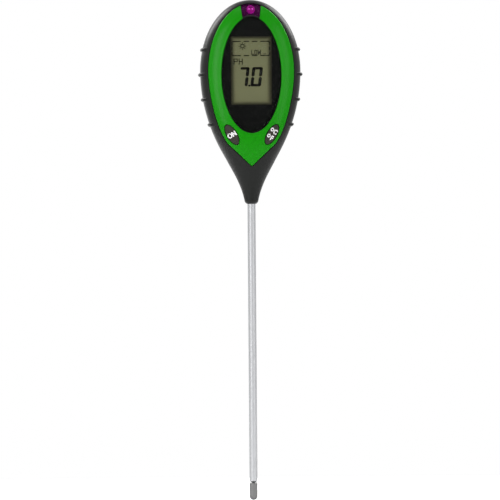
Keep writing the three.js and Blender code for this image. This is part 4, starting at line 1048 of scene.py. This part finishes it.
def key_signs():
    """White print on the keys, running along each key's short axis."""
    x, z = KEY_PLACE
    size, weight = KEY_LETTER, KEY_LETTER_WEIGHT
    left, right = key_surface(-1), key_surface(1)
    on = lettering("sign_on", "ON", size, weight, (-x - 0.1, z - 0.1), KEY_TILT, left, 0.88)
    place(on, WHITE_INK, "key_rubber", body="key_on")
    across = np.array([math.cos(KEY_TILT), -math.sin(KEY_TILT)])
    along = np.array([math.sin(KEY_TILT), math.cos(KEY_TILT)])
    for name, capital, step in (("celsius", "C", 2.3), ("fahrenheit", "F", -1.9)):
        for part, text, height, thick, aside, raised in (
            ("degree", "°", 2.1 * size, 0.012, -1.3, 0.35),
            ("capital", capital, size, weight, 1.05, 0.0),
        ):
            where = np.array([x, z]) + along * (step + raised) + across * aside
            sign = lettering(f"sign_{name}_{part}", text, height, thick, where, -KEY_TILT, right, 0.85)
            place(sign, WHITE_INK, "key_rubber", body="key_unit")


# ---- Display ----

LCD_FRONT = lcd_low[1]
INK = 0.06
CONTACT_LEDGE = 2.2
READING_FOOT = WIDEST_Z - 9.7
READING_HEIGHT = 11.6
READING_SLANT = 0.12
POINT_PLACE = (-1.15, READING_FOOT + 0.5)
POINT_RADIUS = 0.65
SIGN_FOOT = WIDEST_Z + 3.7
LEVEL_FOOT = WIDEST_Z + 9.5
FRAME_BOX = (-11.7, 11.5, WIDEST_Z + 8.5, WIDEST_Z + 17.6)
SUN_PLACE = (-5.1, WIDEST_Z + 14.5)
LETTER_STROKES = {  # from (across, up) to (across, up), in shares of the letter
    "P": [(0, 0, 0, 1), (0, 1, 1, 1), (1, 1, 1, 0.5), (1, 0.5, 0, 0.5)],
    "H": [(0, 0, 0, 1), (1, 0, 1, 1), (0, 0.5, 1, 0.5)],
    "L": [(0, 1, 0, 0), (0, 0, 1, 0)],
    "O": [(0, 0, 0, 1), (0, 1, 1, 1), (1, 1, 1, 0), (1, 0, 0, 0)],
    "W": [(0, 1, 0.12, 0), (0.12, 0, 0.5, 0.7), (0.5, 0.7, 0.88, 0), (0.88, 0, 1, 1)],
    "-": [(0, 0.1, 1, 0.1)],
}


def lcd_panel():
    """The display's two glasses with ground edges, the back one short of the contact ledges."""
    x0, z0 = lcd_low[0], lcd_low[2]
    x1, z1 = lcd_high[0], lcd_high[2]
    middle = LCD_FRONT + 1.0
    edge = 0.12
    front = rounded_box(x0, x1, z0, z1, 0.3)
    levels = ((-edge, LCD_FRONT), (0, LCD_FRONT + edge), (0, middle))
    panel = skin("display_glass", [flat_ring(front, y, grow) for grow, y in levels])
    rear = rounded_box(x0 + 0.02, x1 - 0.02, z0 + CONTACT_LEDGE, z1 - CONTACT_LEDGE, 0.3)
    add(panel, prism(rear, middle - 0.5, lcd_high[1]))
    place(panel, LCD_GLASS_PAINTED_SHADE, "lcd_glass", "lcd_panel")


def stroke_solids(name, outlines, front, back):
    """One mesh of separate thin solids, from anticlockwise (x, z) outlines between two depths."""
    vertices, faces = [], []
    for outline in outlines:
        near = [len(vertices) + i for i in range(len(outline))]
        far = [i + len(outline) for i in near]
        vertices += [(x, y, z) for y in (front, back) for x, z in outline]
        faces += [tuple(near), tuple(far[::-1])]
        faces += [(near[i - 1], far[i - 1], far[i], near[i]) for i in range(len(outline))]
    return mesh_object(name, vertices, faces)


def lcd_mark(name, outlines, material=LCD_INK):
    """Thin marks on the display's front, one piece from several (x, z) outlines."""
    mark = stroke_solids(name, outlines, LCD_FRONT - INK, LCD_FRONT - 0.005)
    place(mark, material, "lcd_glass")


def bar(x0, z0, x1, z1, width):
    """A straight stroke from one point to another, square at its ends."""
    along = np.array([x1 - x0, z1 - z0], float)
    along /= np.hypot(*along)
    across = np.array([-along[1], along[0]]) * width / 2
    a, b = np.array([x0, z0]), np.array([x1, z1])
    return [a - across, b - across, b + across, a + across]


def segment(a, b, width):
    """A display segment: a stroke with bevelled ends."""
    a, b = np.array(a, float), np.array(b, float)
    along = (b - a) / np.hypot(*(b - a))
    across = np.array([-along[1], along[0]]) * width / 2
    inset, blunt = along * width * 0.3, across * 0.35
    return [a - blunt, a + inset - across, b - inset - across, b - blunt,
            b + blunt, b - inset + across, a + inset + across, a + blunt]


def digit(x, width, lit):
    """Seven-segment strokes of one digit of the reading, its lower left corner at x."""
    upright, level, gap = 1.85, 1.5, 0.2
    w, h = width - upright, READING_HEIGHT - level
    reach = upright / 2 - gap
    upper = (h + level / 2 - gap, h / 2 + gap)
    lower = (h / 2 - gap, gap - level / 2)
    ends = {
        "a": (level, (-reach, h), (w + reach, h)),
        "b": (upright, (w, upper[0]), (w, upper[1])),
        "c": (upright, (w, lower[0]), (w, lower[1])),
        "d": (level, (-reach, 0), (w + reach, 0)),
        "e": (upright, (0, lower[0]), (0, lower[1])),
        "f": (upright, (0, upper[0]), (0, upper[1])),
    }
    outlines = []
    for name in lit:
        stroke, a, b = ends[name]
        points = np.array(segment(a, b, stroke))
        points[:, 0] += x + upright / 2 + READING_SLANT * points[:, 1]
        points[:, 1] += READING_FOOT + level / 2
        outlines.append(points)
    return outlines


def letters(text, x, z, width, height, stroke, space):
    """Plain upright capitals from straight strokes."""
    outlines = []
    for letter in text:
        w = width * (1.25 if letter == "W" else 1)
        for u0, v0, u1, v1 in LETTER_STROKES[letter]:
            a = np.array([x + u0 * w, z + v0 * height])
            b = np.array([x + u1 * w, z + v1 * height])
            reach = (b - a) / np.hypot(*(b - a)) * stroke / 2
            outlines.append(bar(*(a - reach), *(b + reach), stroke))
        x += w + space
    return outlines


def arc_strokes(x, z, inner, outer, start, end, count):
    """A band round a point, from one angle in degrees to another, as short strokes."""
    turn = np.radians(np.linspace(start, end, count + 1))
    return [
        [(x + r * math.cos(t), z + r * math.sin(t))
         for r, t in ((outer, a), (outer, b), (inner, b), (inner, a))]
        for a, b in zip(turn, turn[1:])
    ]


def display_frame():
    """A dashed box with rounded corners, round the light level."""
    x0, x1, z0, z1 = FRAME_BOX
    line, corner, reach = 0.6, 1.3, 1.1
    dash, dashes = 3.3, []
    for z in (z0 + line / 2, z1 - line / 2):
        for start in (-9.4, -4.4, 0.6, 5.6):
            dashes.append(bar(start, z, start + dash, z, line))
    middle = (z0 + z1) / 2
    for x in (x0 + line / 2, x1 - line / 2):
        dashes.append(bar(x, middle - reach, x, middle + reach, line))
    for side, rise, start in ((-1, -1, 180), (1, -1, 270), (1, 1, 0), (-1, 1, 90)):
        cx = (x1 if side > 0 else x0) - side * corner
        cz = (z1 if rise > 0 else z0) - rise * corner
        dashes += arc_strokes(cx, cz, corner - line, corner, start, start + 90, 6)
        x = cx + side * (corner - line / 2)
        z = cz + rise * (corner - line / 2)
        dashes.append(bar(cx, z, cx - side * reach, z, line))
        dashes.append(bar(x, cz, x, cz - rise * reach, line))
    return dashes


def display_sun():
    """A ring with eight rays, the sign for light."""
    x, z = SUN_PLACE
    ray_from, ray_to, rays, marks = 1.6, 2.25, 8, []
    for i in range(rays):
        a = i * 2 * math.pi / rays
        c, s = math.cos(a), math.sin(a)
        marks.append(bar(x + ray_from * c, z + ray_from * s, x + ray_to * c, z + ray_to * s, 0.5))
    return marks + arc_strokes(x, z, 0.8, 1.35, 0, 360, 24)


def display_signs():
    """The display's marks: the reading, its sign, and the light level's sign and word in their box."""
    reading = digit(-7.7, 5.6, "abc") + digit(-0.5, 6.4, "abcdef")
    reading.append(ellipse(*POINT_PLACE, POINT_RADIUS, POINT_RADIUS, 0, 20))
    lcd_mark("display_reading", reading)
    lcd_mark("display_ph", letters("PH", -10.2, SIGN_FOOT, 1.9, 3.1, 0.5, 1.15))
    lcd_mark("display_low", letters("LOW", 0.4, LEVEL_FOOT, 1.2, 2.5, 0.45, 0.72), LCD_FAINT)
    lcd_mark("display_dash", letters("-", 7.6, LEVEL_FOOT, 1.2, 2.6, 0.42, 0.4), LCD_FAINT)
    lcd_mark("display_frame", display_frame())
    lcd_mark("display_sun", display_sun())


# ---- Light cell ----

def light_cell():
    """A ceramic disc with a folded track and a slot between two tinned pads, on two legs."""
    front, radius, z = cell_low[1], cell_high[0], cell_high[2] - cell_high[0]
    body = cad_copy("photocell")
    body.name = "light_cell"
    add(body, lathe("disc", rounded(radius, front, front + 2.0, 0.3), 64, "y", (0, 0, z)))
    place(body, CERAMIC, "light_cell", "photocell")
    strokes, pitch, width, rows = [], 0.5, 0.2, 7
    for i in range(rows):
        rise = (i - (rows - 1) / 2) * pitch
        half = math.sqrt(4 - rise**2) * 0.78
        strokes.append(bar(-half, z + rise, half, z + rise, width))
        if i < rows - 1:
            side = half if i % 2 else -half
            strokes.append(bar(side, z + rise, side, z + rise + pitch, width))
    track = stroke_solids("light_cell_track", strokes, front - 0.03, front + 0.05)
    place(track, TRACK, "light_cell")
    slot = prism(rounded_box(-1.2, 1.2, z + 1.15, z + 1.75, 0.25), front - 0.05, front + 0.2)
    slot.name = "light_cell_slot"
    place(slot, EPOXY, "light_cell")
    dome = rounded(0.55, front - 0.25, front + 0.1, 0.15)
    for side, name in ((-1, "left"), (1, "right")):
        pad = lathe("light_cell_pad_" + name, dome, 24, "y", (1.05 * side, 0, z + 0.35))
        place(pad, TIN, "light_cell")


# ---- Probe ----

TIP_LENGTH = 10.2


def probe_tube():
    """The drawn tube, its lower end eased."""
    radius, wall, ease = tube_high[0], 0.5, 0.15
    foot, head = tube_low[2], tube_high[2]
    profile = [(radius - wall, foot), (radius - ease, foot), (radius, foot + ease)]
    profile += [(radius, z) for z in np.linspace(foot + 1, head - 1, 60)]
    profile += [(radius, head), (radius - wall, head), (radius - wall, foot)]
    place(lathe("tube", profile, 64), TUBE_STEEL, "probe_steel", "probe_tube")


def probe_tip():
    """The rounded tip, with the stud that holds it in the insulator."""
    radius, stud, ease = tube_high[0], 0.9, 0.2
    turn = np.linspace(0, math.pi / 2, 15)[1:]
    profile = [(0, 0), *[(radius * math.sin(a), radius * (1 - math.cos(a))) for a in turn]]
    profile += [(radius, TIP_LENGTH - ease), (radius - ease, TIP_LENGTH), (stud, TIP_LENGTH)]
    profile += [(stud, tip_high[2]), (0, tip_high[2])]
    place(lathe("tip", profile, 64), TIP_STEEL, "tip_steel", "probe_tip")


def probe_insulator():
    """The ring between tube and tip, and the sleeve inside the tube."""
    low, high = corners("probe_insulator")
    foot, ring, head = low[2], low[2] + 0.4, high[2]
    bore, sleeve = 1.2, 1.6
    profile = [(bore, foot), (high[0], foot), (high[0], ring), (sleeve, ring)]
    profile += [(sleeve, head), (bore, head), (bore, foot)]
    place(lathe("insulator", profile, 64), DARK_NYLON, "insulator", "probe_insulator")


# ---- Battery ----

def battery():
    """A 9 V battery: a painted can between two bare metal ends, with snap terminals."""
    low, high = corners("battery_9v")
    foot, top = low[2], high[2] - 2.1
    can_low, can_high = foot + 1.2, top - 1.6
    plan = rounded_box(low[0], high[0], low[1], high[1], 1.6)

    def stack(name, *levels):
        rings = []
        for drawn, z in levels:
            points = offset(plan, -drawn)
            rings.append(np.column_stack([points, np.full(len(points), z)]))
        return skin(name, rings)

    can = stack("battery_can", (0, can_low), (0, can_high))
    place(can, BATTERY_PAINT, "battery_can", "battery_9v")
    base = stack("battery_base", (0.6, foot), (0.25, foot + 0.15), (0.05, foot + 0.5), (0.05, can_low))
    place(base, BATTERY_STEEL, "battery_can")
    cover = ((0.05, can_high), (0.05, top - 0.35), (0.4, top), (1.1, top), (1.2, top - 0.5))
    place(stack("battery_top", *cover), BATTERY_STEEL, "battery_can")
    middle = (low[1] + high[1]) / 2
    for name, x, radius in (("positive", 6.35, 2.9), ("negative", -6.35, 3.9)):
        profile = rounded(radius, top - 0.6, high[2], 0.4)
        terminal = lathe("battery_" + name, profile, 48, "z", (x, middle, 0))
        place(terminal, BATTERY_STEEL, "battery_can")


# ---- Pieces that stay as the frame has them ----

KEPT = {
    NYLON: "lcd_frame switch_plunger_on switch_plunger_unit",
    SILICONE: "zebra_strip_top zebra_strip_bottom battery_snap",
    BOARD: "circuit_board",
    EPOXY: "controller_chip amplifier_chip switch_body_on switch_body_unit thermistor",
    RED_VINYL: "battery_lead_red",
    BLACK_VINYL: "battery_lead_black tube_lead",
    WHITE_VINYL: "tip_lead thermistor_lead",
    BRASS: "probe_collar",
    SCREW_STEEL: " ".join(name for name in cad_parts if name.startswith("board_screw")),
}


def kept_nodes():
    """Gives each of them its finish."""
    for material, names in KEPT.items():
        for name in names.split():
            paint(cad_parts[name], material)


# ---- Studio ----

def seen_ray(tree):
    """1 for a ray that shows the background: from the camera, off a gloss, or through clear plastic."""
    seen = node_output(tree, "LightPath", result="Is Camera Ray")
    for kind in ("Is Glossy Ray", "Is Transmission Ray"):
        ray = node_output(tree, "LightPath", result=kind)
        seen = node_output(tree, "Math", {0: seen, 1: ray}, operation="MAXIMUM")
    return seen


def studio_world():
    """White where it is seen or mirrored. As a light it is dimmer in front, where the lamps are."""
    world = bpy.data.worlds.new("studio")
    bpy.context.scene.world = world
    world.use_nodes = True
    tree = world.node_tree
    tree.nodes.clear()
    where = node_output(tree, "TexCoord", result="Generated")
    depth = node_output(tree, "SeparateXYZ", {"Vector": where}, "Y")
    level = spread(tree, depth, 0.28, 1.0, -0.25, 0.35)
    light = node_output(tree, "Background", {"Color": (1, 1, 1, 1), "Strength": level})
    white = node_output(tree, "Background", {"Color": (1, 1, 1, 1), "Strength": 1.0})
    sky = node_output(tree, "MixShader", {"Fac": seen_ray(tree), 1: light, 2: white})
    tree.links.new(sky, tree.nodes.new("ShaderNodeOutputWorld").inputs["Surface"])


def studio_floor():
    """A pale round floor under the tip. What the camera sees of it is lifted to white, and a shadow
    still shows on it."""
    radius, level = 600.0, -0.4
    rim = np.insert(ellipse(0, 0, radius, radius, 0, 96), 2, level, axis=1)
    floor = mesh_object("floor", rim, [range(len(rim))])
    material, tree, surface = node_tree("floor_paint")
    pale = blended(tree, noise(tree, 120), (0.8, 0.8, 0.8), (0.84, 0.84, 0.84))
    diffuse = node_output(tree, "BsdfDiffuse", {"Color": pale})
    lift = node_output(tree, "Math", {0: seen_ray(tree), 1: 0.45}, operation="MULTIPLY")
    glow = node_output(tree, "Emission", {"Strength": lift})
    tree.links.new(node_output(tree, "AddShader", {0: diffuse, 1: glow}), surface)
    paint(floor, material)


LAMP_AIM = Vector((0, 0, 0.24))
LAMPS = [  # name, azimuth, elevation, distance, size, power
    ("lamp_left", -40, 8, 0.9, (0.3, 0.6), 3.4),
    ("lamp_right", 44, 8, 0.9, (0.35, 0.6), 1.9),
    ("lamp_top", 0, 65, 1.1, (0.9, 0.7), 3.4),
    ("rim_left", -125, 35, 0.9, (0.5, 0.5), 6.5),
    ("rim_right", 125, 35, 0.9, (0.5, 0.5), 5.5),
]


def lamp(name, azimuth, elevation, distance, size, power):
    """A soft lamp aimed at the head. Azimuth 0 is in front of the display, positive to its right."""
    data = bpy.data.lights.new(name, "AREA")
    data.shape = "RECTANGLE"
    data.size, data.size_y = size
    data.energy = power
    obj = bpy.data.objects.new(name, data)
    bpy.context.collection.objects.link(obj)
    a, e = math.radians(azimuth), math.radians(elevation)
    away = Vector((math.sin(a) * math.cos(e), -math.cos(a) * math.cos(e), math.sin(e)))
    obj.location = LAMP_AIM + distance * away
    obj.rotation_euler = (-away).to_track_quat("-Z", "Y").to_euler()


studio_world()
studio_floor()
for lamp_setting in LAMPS:
    lamp(*lamp_setting)

front_shell()
rear_shell()
for screw_name in SCREW_PLACES:
    housing_screw(screw_name)
battery_door()
bezel()
display_lens()
window_print()
sensor_lens()
window_bar()
key("key_on", -1)
key("key_unit", 1)
key_signs()
lcd_panel()
display_signs()
light_cell()
probe_tube()
probe_tip()
probe_insulator()
battery()
kept_nodes()
